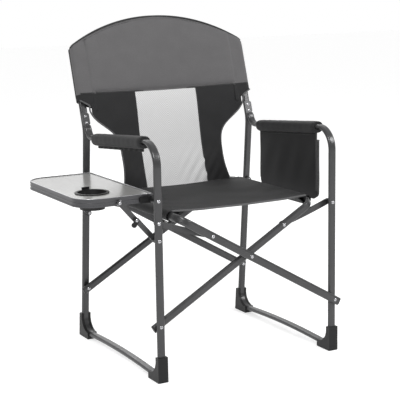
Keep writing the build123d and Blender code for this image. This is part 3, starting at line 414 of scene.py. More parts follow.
# The seat's cloth is the back's black polyester with darker colours: painted shade that offsets the extra light on
# its upward face.
SEAT_CLOTH_PAINTED_SHADE = WovenCloth("woven_polyester_seat", "#0f0f10", "#272728", sheen=0.08)
POUCH_CLOTH = WovenCloth("woven_polyester_pouch", "#0f0f10", "#252526", thread=2.0 * MM, sheen=0.08)
GREY_CLOTH = WovenCloth("woven_polyester_grey", "#4c4b4c", "#6c6b6c", sheen=0.15)
EDGE_TAPE = WovenCloth("webbing_tape_grey", "#3f3f40", "#6a6a6b", thread=1.6 * MM, depth=0.4 * MM)
DARK_TAPE = WovenCloth("webbing_tape_dark", "#1f1f20", "#3e3e3f", thread=1.6 * MM, depth=0.4 * MM)
GREY_MESH = AirMesh("spacer_mesh_light_grey", "#d8d8d8", "#8c8c8d")
TRIM_METAL = BrushedAluminium("anodised_trim_dark_grey", "#4a4a4c", "#5e5e60")
BEAD_METAL = BrushedAluminium("polished_trim_edge", "#a2a2a4", "#b4b4b6")
TABLE_SKIN = Laminate("laminate_light_grey", "#969694", "#888886")
FLOOR_PAINT = MattePaint("floor_paint", "#cfcfcf", "#ffffff")

SLOT_FINISH = {
    "frame_tube": TUBE_COAT,
    "rivets": RIVET_ZINC,
    "black_plastic": BLACK_MOULDED,
    "black_fabric": BLACK_CLOTH,
    "grey_fabric": GREY_CLOTH,
    "mesh_fabric": GREY_MESH,
    "table_trim": TRIM_METAL,
    "table_top": TABLE_SKIN,
}


# ---------------------------------------------------------------- mesh helpers
def make_piece(
    name: str, points: np.ndarray, faces: np.ndarray, flat: np.ndarray, finish: Finish
) -> bpy.types.Object:
    """Put arrays into a mesh object with smooth shading, outward faces and its cloth UV map.

    Args:
        name: The piece's name.
        points: Vertex places, n by 3.
        faces: Corner numbers, m by 4.
        flat: Place of each vertex on the flat cloth, n by 2, in metres.
        finish: The material.

    Returns:
        The new object, at the origin.
    """
    mesh = bpy.data.meshes.new(name)
    mesh.from_pydata(points.tolist(), [], faces.tolist())
    layer = mesh.uv_layers.new(name="cloth")
    corners = np.empty(len(mesh.loops), np.int32)
    mesh.loops.foreach_get("vertex_index", corners)
    layer.data.foreach_set("uv", flat[corners].astype(np.float32).ravel())
    shape = bmesh.new()
    shape.from_mesh(mesh)
    bmesh.ops.recalc_face_normals(shape, faces=shape.faces)
    shape.to_mesh(mesh)
    shape.free()
    mesh.shade_smooth()
    mesh.set_sharp_from_angle(angle=math.radians(48))
    mesh.materials.append(finish.build())
    piece = bpy.data.objects.new(name, mesh)
    bpy.context.scene.collection.objects.link(piece)
    return piece


def grid_faces(rows: int, columns: int, start: int = 0, flip: bool = False) -> np.ndarray:
    """Quads of an open grid whose vertices run row by row.

    Args:
        rows: Vertices along the first way.
        columns: Vertices along the second way.
        start: Number of the first vertex.
        flip: Turn the faces over.

    Returns:
        Corner numbers, one row a face.
    """
    ids = np.arange(rows * columns).reshape(rows, columns) + start
    quads = np.stack([ids[:-1, :-1], ids[1:, :-1], ids[1:, 1:], ids[:-1, 1:]], axis=-1).reshape(-1, 4)
    return quads[:, ::-1] if flip else quads


def normals_of(points: np.ndarray) -> np.ndarray:
    """Unit normals of a grid: the cross product of its two central differences."""
    first = np.gradient(points, axis=0)
    second = np.gradient(points, axis=1)
    cross = np.cross(first, second)
    return cross / np.maximum(np.linalg.norm(cross, axis=-1, keepdims=True), 1e-12)


def flat_of(points: np.ndarray) -> np.ndarray:
    """Flat cloth coordinates of a grid: running length along its middle column and middle row."""
    middle_column = points[:, points.shape[1] // 2]
    middle_row = points[points.shape[0] // 2]
    u = np.concatenate([[0], np.cumsum(np.linalg.norm(np.diff(middle_column, axis=0), axis=1))])
    v = np.concatenate([[0], np.cumsum(np.linalg.norm(np.diff(middle_row, axis=0), axis=1))])
    return np.stack(np.meshgrid(u, v, indexing="ij"), axis=-1)


def shell(
    name: str,
    points: np.ndarray,
    up: np.ndarray | float,
    down: np.ndarray | float,
    finish: Finish,
) -> bpy.types.Object:
    """A closed shell round a grid: one face moved up the normal, one down, and walls at the four edges.

    Args:
        name: The piece's name.
        points: The grid, rows by columns by 3.
        up: Distance from the grid to the upper face.
        down: Distance from the grid to the lower face.
        finish: The material.

    Returns:
        The new object.
    """
    rows, columns = points.shape[:2]
    normal = normals_of(points)
    raise_by = np.broadcast_to(np.asarray(up, float), (rows, columns))[..., None]
    lower_by = np.broadcast_to(np.asarray(down, float), (rows, columns))[..., None]
    top = points + normal * raise_by
    bottom = points - normal * lower_by
    count = rows * columns
    ids = np.arange(count).reshape(rows, columns)
    loop = np.concatenate([ids[:-1, 0], ids[-1, :-1], ids[:0:-1, -1], ids[0, :0:-1]])
    after = np.roll(loop, -1)
    walls = np.stack([loop, after, after + count, loop + count], axis=-1)
    faces = np.concatenate([grid_faces(rows, columns), grid_faces(rows, columns, count, True), walls])
    flat = flat_of(points).reshape(-1, 2)
    corners = np.concatenate([top.reshape(-1, 3), bottom.reshape(-1, 3)])
    return make_piece(name, corners, faces, np.concatenate([flat, flat]), finish)


def cord_along(
    name: str,
    path: np.ndarray,
    radius: float,
    finish: Finish,
    away: np.ndarray,
    flatten: float = 1.0,
) -> bpy.types.Object:
    """A round or flattened piping along a path, with domed ends.

    Each ring is a circle in the plane of the away vector and the path's side vector. The dome is a ring
    that shrinks as a quarter circle past each end.

    Args:
        name: The piece's name.
        path: Points along the middle.
        radius: Half thickness.
        finish: The material.
        away: A direction that is never along the path.
        flatten: Thickness along the away vector, as a share of the width.

    Returns:
        The new object.
    """
    sides = 12
    tangent = np.gradient(path, axis=0)
    tangent /= np.linalg.norm(tangent, axis=1, keepdims=True)
    side = np.cross(tangent, away)
    side /= np.linalg.norm(side, axis=1, keepdims=True)
    out = np.cross(side, tangent)
    dome = np.radians([75.0, 50.0, 25.0])
    middle = np.concatenate([
        path[:1] - tangent[:1] * (radius * np.sin(dome))[:, None],
        path,
        path[-1:] + tangent[-1:] * (radius * np.sin(dome[::-1]))[:, None],
    ])
    size = radius * np.concatenate([np.cos(dome), np.ones(len(path)), np.cos(dome[::-1])])
    side = np.concatenate([np.repeat(side[:1], 3, 0), side, np.repeat(side[-1:], 3, 0)])
    out = np.concatenate([np.repeat(out[:1], 3, 0), out, np.repeat(out[-1:], 3, 0)])
    angle = np.linspace(0, 2 * np.pi, sides, endpoint=False)
    ring = side[:, None] * np.cos(angle)[:, None] + out[:, None] * np.sin(angle)[:, None] * flatten
    points = middle[:, None] + ring * size[:, None, None]
    rows = len(middle)
    ids = np.arange(rows * sides).reshape(rows, sides)
    after = np.roll(ids, -1, axis=1)
    quads = np.stack([ids[:-1], after[:-1], after[1:], ids[1:]], axis=-1).reshape(-1, 4)
    caps = [
        np.stack([row[:6][:-1], row[:6][1:], row[::-1][:6][1:], row[::-1][:6][:-1]], axis=-1)
        for row in (ids[0], ids[-1])
    ]
    length = np.concatenate([[0], np.cumsum(np.linalg.norm(np.diff(middle, axis=0), axis=1))])
    flat = np.stack(np.meshgrid(length, angle * radius, indexing="ij"), axis=-1).reshape(-1, 2)
    return make_piece(name, points.reshape(-1, 3), np.concatenate([quads, *caps]), flat, finish)


def stitches(
    name: str, path: np.ndarray, away: np.ndarray, finish: Finish, pitch: float = 5.2 * MM
) -> bpy.types.Object:
    """A row of thread stitches along a path: short flattened six-sided beads, evenly spaced.

    Args:
        name: The piece's name.
        path: Points along the seam, on the cloth's face.
        away: Direction out of the cloth.
        finish: The material.
        pitch: Start of one stitch to the start of the next. A real one is about 3 mm, drawn longer to show.

    Returns:
        The new object.
    """
    length = np.concatenate([[0], np.cumsum(np.linalg.norm(np.diff(path, axis=0), axis=1))])
    count = int(length[-1] / pitch)
    starts = (np.arange(count) + 0.2) * pitch
    stations = starts[:, None] + np.array([0.0, 0.15, 0.5, 0.6]) * pitch
    middle = np.stack([np.interp(stations, length, path[:, i]) for i in range(3)], axis=-1)
    tangent = middle[:, -1] - middle[:, 0]
    tangent /= np.linalg.norm(tangent, axis=1, keepdims=True)
    side = np.cross(tangent, away)
    side /= np.linalg.norm(side, axis=1, keepdims=True)
    out = np.cross(side, tangent)
    size = np.array([0.1, 0.62, 0.62, 0.1]) * MM
    angle = np.linspace(0, 2 * np.pi, 6, endpoint=False)
    ring = side[:, None] * np.cos(angle)[:, None] + out[:, None] * np.sin(angle)[:, None] * 0.8
    points = middle[:, :, None] + ring[:, None] * size[:, None, None]
    ids = np.arange(count * 24).reshape(count, 4, 6)
    after = np.roll(ids, -1, axis=2)
    quads = np.stack([ids[:, :-1], after[:, :-1], after[:, 1:], ids[:, 1:]], axis=-1).reshape(-1, 4)
    ends = np.concatenate([ids[:, row][:, pick] for row in (0, 3) for pick in ([0, 1, 2, 3], [0, 3, 4, 5])])
    flat = points.reshape(-1, 3)[:, :2]
    return make_piece(name, points.reshape(-1, 3), np.concatenate([quads, ends]), flat, finish)


def sleeve_path(reach: float, radius: float, lap: float, steps: int, drop: float) -> np.ndarray:
    """Section of a cloth that goes round a tube and is sewn back on itself.

    It starts under the sheet at the lap, runs down the tangent to the tube's far side, round the tube and
    off its top towards the middle. Distances are (towards the middle, up) from the tube's middle.

    Args:
        reach: Tube's middle to the cloth's end at the chair's middle.
        radius: Radius of the cloth's middle layer round the tube.
        lap: Where the returning layer meets the sheet.
        steps: Points along the straight stretch.
        drop: How far the returning layer lies under the sheet.

    Returns:
        Points of the section, n by 2.
    """
    seam = np.array([lap, radius - drop])
    lean = math.atan2(seam[1], seam[0]) - math.acos(radius / np.hypot(*seam))
    turn = np.linspace(lean, math.pi / 2 - 2 * math.pi, 34)
    arc = radius * np.stack([np.cos(turn), np.sin(turn)], axis=-1)
    tail = np.stack([np.linspace(lap + 9 * MM, lap, 4), np.full(4, radius - drop)], axis=-1)
    run = np.stack([np.linspace(0, reach, steps)[1:], np.full(steps - 1, radius)], axis=-1)
    slope = arc[:1] + (seam - arc[:1]) * np.linspace(1, 0, 8)[1:-1, None]
    return np.concatenate([tail, slope, arc, run])


# ---------------------------------------------------------------- seat
@dataclass
class Seat:
    """The seat: one cloth slung between two rails, made as two halves that meet at the middle.

    Attributes:
        cloth: Thickness of the cloth.
        sag: How far the middle hangs under the rails' tops.
        front_sag: The same at the front edge, where the hem holds it tighter.
    """

    cloth: float = 2.2 * MM
    sag: float = 8.0 * MM
    front_sag: float = 5.0 * MM
    hem: float = 2.6 * MM
    radius: float = 12.7 * MM
    lap: float = 30.0 * MM
    forward: float = 8.0 * MM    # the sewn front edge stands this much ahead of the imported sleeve

    def surface(self, side: Side, rows: int = 40) -> np.ndarray:
        """The half's middle layer.

        The section is sleeve_path. The sheet sinks by the sag times one minus the square of the distance from
        the chair's middle, deepest two fifths of the way back, with small pulls that fan from the rails.

        Args:
            side: Which half.
            rows: Points from front to back.

        Returns:
            Grid of points, section by depth.
        """
        rail = Vector(JOINTS[f"seat_{side.word}_fold"]["pos_m"])
        low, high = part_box(f"seat_{side.word}")
        middle = (JOINTS["seat_left_fold"]["pos_m"][0] + JOINTS["seat_right_fold"]["pos_m"][0]) / 2
        reach = abs(rail.x - middle)
        section = sleeve_path(reach, self.radius, self.lap, 40, self.cloth + 0.3 * MM)
        depth = np.linspace(0, 1, rows)
        inward, height = section[:, None, 0], section[:, None, 1]
        share = np.clip(inward / reach, 0, 1)
        dip = np.sin(np.pi * np.clip(depth * 1.15, 0, 1)) ** 0.8
        hang = self.front_sag + (self.sag - self.front_sag) * dip
        sink = hang * (1 - (1 - share) ** 2)
        pull = 0.7 * MM * np.sin(depth * 31 + share * 9) * np.exp(-share * 5) * np.sin(np.pi * share) * 2
        pull = pull + 0.5 * MM * np.sin(depth * 17 - share * 6) * np.sin(np.pi * share)
        upper = (np.arange(len(section)) >= 44)[:, None].astype(float)
        z = rail.z + height - sink * (upper + (1 - upper) * (height > 0)) + pull * upper
        x = rail.x - side.value * inward + 0 * depth
        front = low.y - self.forward
        y = front + (high.y - front) * depth + 0 * inward
        return np.stack([x, y, z + 0 * depth], axis=-1)

    def build(self) -> None:
        """Make both halves, their front hems and the seams beside the rails."""
        for side in Side:
            grid = self.surface(side)
            thick = self.cloth / 2
            # The seat halves take the darker copy of the black cloth, as painted shade.
            half = shell(f"seat_sling_{side.word}", grid, thick, thick, SEAT_CLOTH_PAINTED_SHADE)
            body = f"seat_{side.word}"
            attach(half, body)
            nodes = [f"seat_{side.word}"] + (["seat_centre"] if side is Side.LEFT else [])
            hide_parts(*nodes)
            sheet = grid[44:]
            upward = np.array([0.0, 0.0, 1.0])
            ends = (("front", 0, 1, EDGE_TAPE), ("rear", -1, -2, DARK_TAPE))
            for place, row, inner_row, tape in ends:
                hem = cord_along(
                    f"seat_hem_{place}_{side.word}", sheet[:, row], self.hem, tape,
                    np.array([0.0, 1.0, 0.0]), 1.4,
                )
                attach(hem, body)
                inset = sheet[:, inner_row] + upward * self.cloth / 2
                seam = stitches(f"seat_stitch_{place}_{side.word}", inset, upward, DARK_TAPE)
                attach(seam, body)
            column = np.argmin(abs(abs(sheet[:, 0, 0] - sheet[0, 0, 0]) - self.lap))
            line = sheet[column] + upward * self.cloth / 2
            seam = stitches(f"seat_stitch_rail_{side.word}", line, upward, DARK_TAPE)
            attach(seam, body)
            LOG.info("seat %s: %d points", side.word, grid.shape[0] * grid.shape[1])


# ---------------------------------------------------------------- back
@dataclass
class Back:
    """The back: a padded grey panel over a black panel with a mesh middle, in two halves.

    Places on it are (across from the chair's middle, along the posts from their bend, forward).
    """

    cloth: float = 2.4 * MM
    radius: float = 15.0 * MM
    lap: float = 32.0 * MM
    arch_corner: float = 242.5 * MM
    arch_rise: float = 87.0 * MM
    overhang: float = 17.0 * MM
    seam_height: float = 104.0 * MM
    sleeve_start: float = 70.0 * MM
    bottom: float = -188.0 * MM
    belly: float = 18.0 * MM
    belly_length: float = 190.0 * MM
    mesh_half: float = 102.0 * MM
    waist_half: float = 165.0 * MM
    waist_flare: float = 95.0 * MM
    pinch_start: float = 224.0 * MM
    pad: float = 7.0 * MM

    def __post_init__(self) -> None:
        """Read the posts' line from the fold's joints."""
        left, right = (np.array(JOINTS[f"back_{s.word}_fold"]["pos_m"]) for s in Side)
        self.foot = (left + right) / 2
        self.half = float(right[0] - left[0]) / 2
        self.up = np.array(JOINTS["back_left_fold"]["axis"])
        self.forward = np.cross(np.array([-1.0, 0.0, 0.0]), self.up)
        if self.forward[1] > 0:
            self.forward = -self.forward

    def place(self, across: np.ndarray, along: np.ndarray, forward: np.ndarray) -> np.ndarray:
        """Points in the chair from places on the back."""
        across, along, forward = np.broadcast_arrays(across, along, forward)
        return (
            self.foot
            + across[..., None] * np.array([1.0, 0.0, 0.0])
            + along[..., None] * self.up
            + forward[..., None] * self.forward
        )

    def arch(self, across: np.ndarray) -> np.ndarray:
        """Height of the top edge: a circle through both corners and the middle's rise, with soft ends."""
        half = self.half + self.overhang
        circle = (half**2 + self.arch_rise**2) / (2 * self.arch_rise)
        height = self.arch_corner + self.arch_rise - circle + np.sqrt(circle**2 - across**2)
        past = np.clip((abs(across) - self.half) / self.overhang, 0, 1)
        return height - 9 * MM * past**3

    def waist(self, along: np.ndarray) -> np.ndarray:
        """Half width of the black panel: a logistic rise to the posts, and a small flare at the foot."""
        rise = self.waist_flare / (1 + np.exp(-(along - 10 * MM) / (17 * MM)))
        foot = 10 * MM * np.clip((-along - 100 * MM) / (72 * MM), 0, 1) ** 2
        return self.waist_half + rise + foot

    def hollow(self, across: np.ndarray, along: np.ndarray) -> np.ndarray:
        """How far the cloth stands in front of the posts' middles.

        A parabola across, with none at the chair's middle. Under the grey panel the cloth also bellies
        rearwards, as a smooth step.
        """
        past = np.clip((self.seam_height - along) / self.belly_length, 0, 1)
        return self.radius * (across / self.half) ** 2 - self.belly * past**2 * (3 - 2 * past)

    def brow(self, across: np.ndarray) -> np.ndarray:
        """Lower edge of the black sleeve: it climbs from the waist's end to the post's outer side."""
        past = np.clip((across - self.half + self.lap) / (self.lap + self.radius), 0, 1)
        return self.sleeve_start - 14 * MM + 32 * MM * past**0.8

    def wrapped(
        self, side: Side, low: float | None, high: float | None, inner: float, rows: int
    ) -> np.ndarray:
        """Cloth that goes round a post and across to a place near the middle.

        Args:
            side: Which half.
            low: Lower edge along the post, or None for the brow.
            high: Upper edge, or None for the arch.
            inner: Where it ends, from the chair's middle.
            rows: Points from low to high.

        Returns:
            Grid of points, section by height.
        """
        section = sleeve_path(self.half - inner, self.radius, self.lap, 42, self.cloth + 0.3 * MM)
        inward, out = section[:, None, 0], section[:, None, 1]
        across = self.half - inward
        share = np.linspace(0, 1, rows)[None]
        top = self.arch(across) if high is None else np.full_like(across, high)
        foot = self.brow(across) if low is None else np.full_like(across, low)
        along = foot + (top - foot) * share
        pinch = np.ones_like(along)
        if high is None:
            past = np.clip((along - self.pinch_start) / (top - self.pinch_start), 0, 1)
            pinch = np.sqrt(np.clip(1 - 0.96 * past**2, 0.0, 1))
        straight = (np.arange(len(section)) >= 44)[:, None]
        front = np.where(straight, self.hollow(across, along) / self.radius, out / self.radius)
        return self.place(side.value * across, along, front * self.radius * pinch)

    def creases(self, side: Side, across: np.ndarray, along: np.ndarray) -> np.ndarray:
        """Slanting pull lines low on the panel, strongest on the right."""
        slant = along * 0.62 - side.value * across * 0.78
        low = np.exp(-(((along - self.bottom - 45 * MM) / (60 * MM)) ** 2))
        aside = np.clip(across / (60 * MM), 0, 1) * np.clip((self.waist(along) - across) / (30 * MM), 0, 1)
        height = 1.5 * MM if side is Side.RIGHT else 0.6 * MM
        return height * np.sin(slant * 2 * np.pi / (26 * MM)) * low * aside

    def upper(self, side: Side) -> None:
        """The grey cover round the post, and the padded panel on its face."""
        body = f"back_{side.word}"
        grid = self.wrapped(side, self.seam_height, None, 0.0, 44)
        thick = self.cloth / 2
        cover = shell(f"back_cover_{side.word}", grid, thick, thick, GREY_CLOTH)
        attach(cover, body)
        nodes = [f"back_upper_{side.word}"] + (["back_upper_centre"] if side is Side.LEFT else [])
        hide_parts(*nodes)
        edge = self.half - self.lap
        across = np.linspace(0, edge, 48)[:, None]
        share = np.linspace(0, 1, 44)[None]
        low = self.seam_height + 5 * MM
        along = low + (self.arch(across) - 6 * MM - low) * share
        rim = np.minimum(np.clip((edge - across) / (26 * MM), 0, 1), np.clip((along - low) / (26 * MM), 0, 1))
        rim = np.minimum(rim, np.clip((self.arch(across) - 6 * MM - along) / (26 * MM), 0, 1))
        crown = self.pad * np.sqrt(1 - (1 - rim) ** 2)
        wrinkle = 0.6 * MM * np.sin(along * 160 + across * 35) * np.exp(-((edge - across) / (60 * MM))) * rim
        base = self.place(side.value * across, along, self.hollow(across, along) + self.cloth / 2 + 0.2 * MM)
        flip = -side.value
        puff = crown + wrinkle
        up, down = (puff, 0.0) if flip < 0 else (0.0, puff)
        pad = shell(f"back_pad_{side.word}", base, up, down, GREY_CLOTH)
        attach(pad, body)
        top = np.linspace(0.0, self.half + self.radius * 0.75, 60)
        bow = self.hollow(np.minimum(top, self.half), top) * 0.2
        ridge = self.place(side.value * top, self.arch(top), bow)
        binding = cord_along(
            f"back_binding_{side.word}", ridge, 3.0 * MM, DARK_TAPE, self.forward, 1.5
        )
        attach(binding, body)
        corner = float(self.arch(np.array(self.half + self.radius)))
        climb = np.linspace(self.seam_height - 8 * MM, corner, 40)
        rim_side = self.place(side.value * np.full(40, self.half + self.radius), climb, np.zeros(40))
        binding = cord_along(
            f"back_side_binding_{side.word}", rim_side, 2.6 * MM, DARK_TAPE, self.forward, 1.3
        )
        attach(binding, body)
        inset = self.place(
            side.value * top[:52], self.arch(top[:52]) - 9 * MM,
            self.hollow(top[:52], top[:52]) + self.cloth / 2 + self.pad * 0.45,
        )
        row = stitches(f"back_stitch_top_{side.word}", inset, self.forward, DARK_TAPE)
        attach(row, body)
        LOG.info("back upper %s: %d points in the cover", side.word, grid.shape[0] * grid.shape[1])

    def lower(self, side: Side) -> None:
        """The black panel with its sleeve, waist piping, mesh middle and seams."""
        body = f"back_{side.word}"
        share = np.linspace(0, 1, 64)[None]
        along = self.bottom + (self.seam_height - self.bottom) * share
        reach = np.minimum(self.waist(along), self.half - self.lap + 10 * MM)
        part = np.linspace(0, 1, 30)[:, None]
        across = self.mesh_half + (reach - self.mesh_half) * part
        free = np.clip((across - self.mesh_half) / (40 * MM), 0, 1)
        ripple = 0.8 * MM * np.sin(along * 70 + across * 40) * free + self.creases(side, across, along)
        grid = self.place(side.value * across, along + 0 * across, self.hollow(across, along) + ripple)
        thick = self.cloth / 2
        skirt = shell(f"back_skirt_{side.word}", grid, thick, thick, BLACK_CLOTH)
        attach(skirt, body)
        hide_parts(f"back_lower_{side.word}")
        sleeve_grid = self.wrapped(side, None, self.seam_height, self.half - self.lap - 4 * MM, 14)
        sleeve = shell(f"back_sleeve_{side.word}", sleeve_grid, thick, thick, BLACK_CLOTH)
        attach(sleeve, body)
        part = np.linspace(0, 1, 26)[:, None]
        across = self.mesh_half * part
        front = self.hollow(across, along) + self.creases(side, across, along)
        grid = self.place(side.value * across, along + 0 * across, front)
        mesh = shell(f"back_mesh_{side.word}", grid, self.cloth / 2, self.cloth / 2, GREY_MESH)
        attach(mesh, body)
        if side is Side.LEFT:
            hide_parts("back_mesh")
        run = np.linspace(self.bottom, self.sleeve_start - 14 * MM, 90)
        edge = self.waist(run)
        brow = np.linspace(float(edge[-1]), self.half + self.radius * 0.7, 24)[1:]
        front = np.concatenate([self.hollow(edge, run), self.radius + 0.0 * brow])
        rise = np.concatenate([run, self.brow(brow)])
        piping = cord_along(
            f"back_piping_{side.word}", self.place(side.value * np.concatenate([edge, brow]), rise, front),
            2.2 * MM, EDGE_TAPE, self.forward, 1.1,
        )
        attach(piping, body)
        rise = np.linspace(self.bottom, self.seam_height, 60)
        edge = np.full(60, self.mesh_half)
        line = self.place(side.value * edge, rise, self.hollow(edge, rise) + self.cloth / 2)
        seam = cord_along(
            f"back_mesh_seam_{side.word}", line, 2.0 * MM, DARK_TAPE, self.forward, 0.5
        )
        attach(seam, body)
        width = np.linspace(0, self.half + self.radius * 0.4, 60)
        forward = np.where(width < self.half, self.hollow(width, width), self.radius) + self.cloth / 2
        line = self.place(side.value * width, np.full(60, self.seam_height + 2 * MM), forward)
        seam = cord_along(
            f"back_seam_{side.word}", line, 2.2 * MM, DARK_TAPE, self.forward, 0.7
        )
        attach(seam, body)
        bottom = np.linspace(0, float(self.waist(np.array(self.bottom))), 50)
        line = self.place(side.value * bottom, np.full(50, self.bottom), self.hollow(bottom, bottom))
        hem = cord_along(
            f"back_hem_{side.word}", line, 2.2 * MM, DARK_TAPE, self.forward, 1.2
        )
        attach(hem, body)
        LOG.info("back lower %s built", side.word)

    def build(self) -> None:
        """Make both halves."""
        for side in Side:
            self.upper(side)
            self.lower(side)


# ---------------------------------------------------------------- armrest pads
@dataclass
class ArmPad:
    """A padded sleeve round the armrest tube, sewn along a flap underneath."""

    side: Side
    wall: float = 2.2 * MM
    width: float = 37.0 * MM
    height: float = 29.0 * MM
    flap: float = 9.0 * MM
    hang: float = 1.35    # how much further the pad reaches under the tube than over it

    def build(self) -> None:
        """Make the pad, its flap and its row of stitches, and let it ride on the side frame."""
        low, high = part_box(f"{self.side.word}_arm_sleeve")
        middle_x = (low.x + high.x) / 2
        thick = 27.0 * MM
        fall = (high.z - low.z) - thick
        front = np.array([middle_x, low.y, high.z - thick / 2])
        rear = np.array([middle_x, high.y, high.z - thick / 2 - fall])
        along = np.linspace(0, 1, 70)
        spine = front + (rear - front) * along[:, None]
        way = (rear - front) / np.linalg.norm(rear - front)
        upward = np.cross(np.array([1.0, 0.0, 0.0]), way)
        upward *= np.sign(upward[2])
        angle = np.linspace(0, 2 * np.pi, 48, endpoint=False)
        power = 2 / 2.4
        ring_x = np.sign(np.cos(angle)) * abs(np.cos(angle)) ** power
        ring_z = np.sign(np.sin(angle)) * abs(np.sin(angle)) ** power
        ring_z = np.where(ring_z < 0, ring_z * self.hang, ring_z)
        end = np.clip(np.minimum(along, 1 - along) / 0.04, 0, 1)
        crown = 0.90 + 0.10 * np.sqrt(1 - (1 - end) ** 2)
        ripple = 1 + 0.018 * np.sin(along * 47) * np.sin(along * 19 + 1)
        outer = (
            spine[:, None]
            + np.array([1.0, 0, 0]) * (ring_x[None] * (self.width / 2 * crown * ripple)[:, None])[..., None]
            + upward * (ring_z[None] * (self.height / 2 * crown * (2 - ripple))[:, None])[..., None]
        )
        inner = (
            spine[:, None]
            + np.array([1.0, 0, 0]) * (ring_x[None] * 11.6 * MM * np.ones((70, 1)))[..., None]
            + upward * (ring_z[None] * 6.6 * MM * np.ones((70, 1)))[..., None]
        )
        count = 70 * 48
        ids = np.arange(count).reshape(70, 48)
        after = np.roll(ids, -1, axis=1)
        skin = np.stack([ids[:-1], after[:-1], after[1:], ids[1:]], axis=-1).reshape(-1, 4)
        ends = [
            np.stack([ids[row], after[row], after[row] + count, ids[row] + count], axis=-1) for row in (0, -1)
        ]
        length = along * np.linalg.norm(rear - front)
        flat = np.stack(np.meshgrid(length, angle * self.width / 2, indexing="ij"), axis=-1).reshape(-1, 2)
        points = np.concatenate([outer.reshape(-1, 3), inner.reshape(-1, 3)])
        pad = make_piece(
            f"arm_pad_{self.side.word}", points, np.concatenate([skin, skin[:, ::-1] + count, *ends]),
            np.concatenate([flat, flat]), BLACK_CLOTH,
        )
        body = f"{self.side.word}_frame"
        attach(pad, body)
        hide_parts(f"{self.side.word}_arm_sleeve")
        fall_by = np.linspace(0, self.flap, 6)[:, None, None]
        wave = 0.8 * MM * np.sin(along * 60)[None, :, None] * np.array([1.0, 0, 0])
        start = self.height / 2 * self.hang - 2 * MM
        flap_grid = spine[None, 2:-2] - upward * (start + fall_by) + wave[:, 2:-2]
        flap = shell(
            f"arm_flap_{self.side.word}", flap_grid, self.wall / 2, self.wall / 2, BLACK_CLOTH
        )
        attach(flap, body)
        row = stitches(
            f"arm_stitch_{self.side.word}", flap_grid[3] - np.array([self.wall / 2, 0, 0]),
            np.array([-1.0, 0.0, 0.0]), DARK_TAPE,
        )
        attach(row, body)
        LOG.info("arm pad %s: %.0f mm long", self.side.word, (high.y - low.y) / MM)


# ---------------------------------------------------------------- pouch
@dataclass
class Pouch:
    """The storage pouch: a tall inner wall hung from the armrest, and a pocket that sags from it.

    The pocket's face bulges outwards as a product of two half sine waves, and its mouth droops.
    """

    wall: float = 1.8 * MM
    bulge: float = 5.0 * MM
    droop: float = 5.0 * MM
    corner: float = 16.0 * MM
    step: float = 7.0 * MM    # the inner wall hangs this far out from the pad's inner side

    def build(self) -> None:
        """Make the inner wall, the pocket, the hems and the edge tapes."""
        low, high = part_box("storage_pouch")
        slope = (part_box("right_arm_sleeve")[1].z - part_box("right_arm_sleeve")[0].z - 27 * MM) / (
            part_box("right_arm_sleeve")[1].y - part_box("right_arm_sleeve")[0].y
        )
        depth = high.y - low.y
        share = np.linspace(0, 1, 60)[None]
        rise = np.linspace(0, 1, 40)[:, None]
        y = low.y + depth * share
        top = high.z - slope * (y - low.y)
        end = np.minimum(y - low.y, high.y - y)
        inside = np.clip(self.corner - end, 0, None)
        lift = self.corner - np.sqrt(np.clip(self.corner**2 - inside**2, 0, None))
        base = low.z + lift
        inner_z = base + (top - 1 * MM - base) * rise
        puff = np.sin(np.pi * share) ** 0.5 * np.sin(np.pi * np.clip(rise * 0.93 + 0.05, 0, 1)) ** 0.7
        crease = 0.7 * MM * np.sin(share * 23 + rise * 6) * np.sin(np.pi * rise)
        inner_x = low.x + self.step - 3.0 * MM * puff + crease
        wall_grid = np.stack([inner_x, y + 0 * rise, inner_z], axis=-1)
        mouth = top - 27 * MM - self.droop * np.sin(np.pi * share)
        pocket_z = base + (mouth - base) * rise
        tuck = np.sqrt(np.clip(1 - (1 - np.clip(rise / 0.06, 0, 1)) ** 2, 0, 1))
        ends = np.sqrt(np.clip(1 - (1 - np.clip(np.minimum(share, 1 - share) / 0.04, 0, 1)) ** 2, 0, 1))
        room = (high.x - low.x - self.step - 5 * MM) * tuck * ends + self.bulge * puff * ends
        pocket_x = low.x + self.step + 2.2 * MM + room + 0.9 * crease
        pocket_grid = np.stack([pocket_x, y + 0 * rise, pocket_z], axis=-1)
        body = "right_frame"
        thick = self.wall / 2
        inner = shell("pouch_inner_wall", wall_grid, thick, thick, POUCH_CLOTH)
        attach(inner, body)
        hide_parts("storage_pouch")
        pocket = shell("pouch_pocket", pocket_grid, thick, thick, POUCH_CLOTH)
        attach(pocket, body)
        away = np.array([1.0, 0.0, 0.0])
        tapes = {
            "pouch_mouth_hem": (pocket_grid[-1], 2.2 * MM, DARK_TAPE),
            "pouch_tape_front": (wall_grid[2:-1, 0], 2.4 * MM, DARK_TAPE),
            "pouch_tape_rear": (wall_grid[2:-1, -1], 2.4 * MM, DARK_TAPE),
            "pouch_tape_bottom": (wall_grid[0, 2:-2], 2.0 * MM, DARK_TAPE),
        }
        for name, (path, radius, finish) in tapes.items():
            tape = cord_along(name, path, radius, finish, away, 0.8)
            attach(tape, body)
        row = stitches("pouch_stitch_top", wall_grid[-3] - away * thick, -away, DARK_TAPE)
        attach(row, body)
        LOG.info("pouch built, %.0f mm deep", depth / MM)


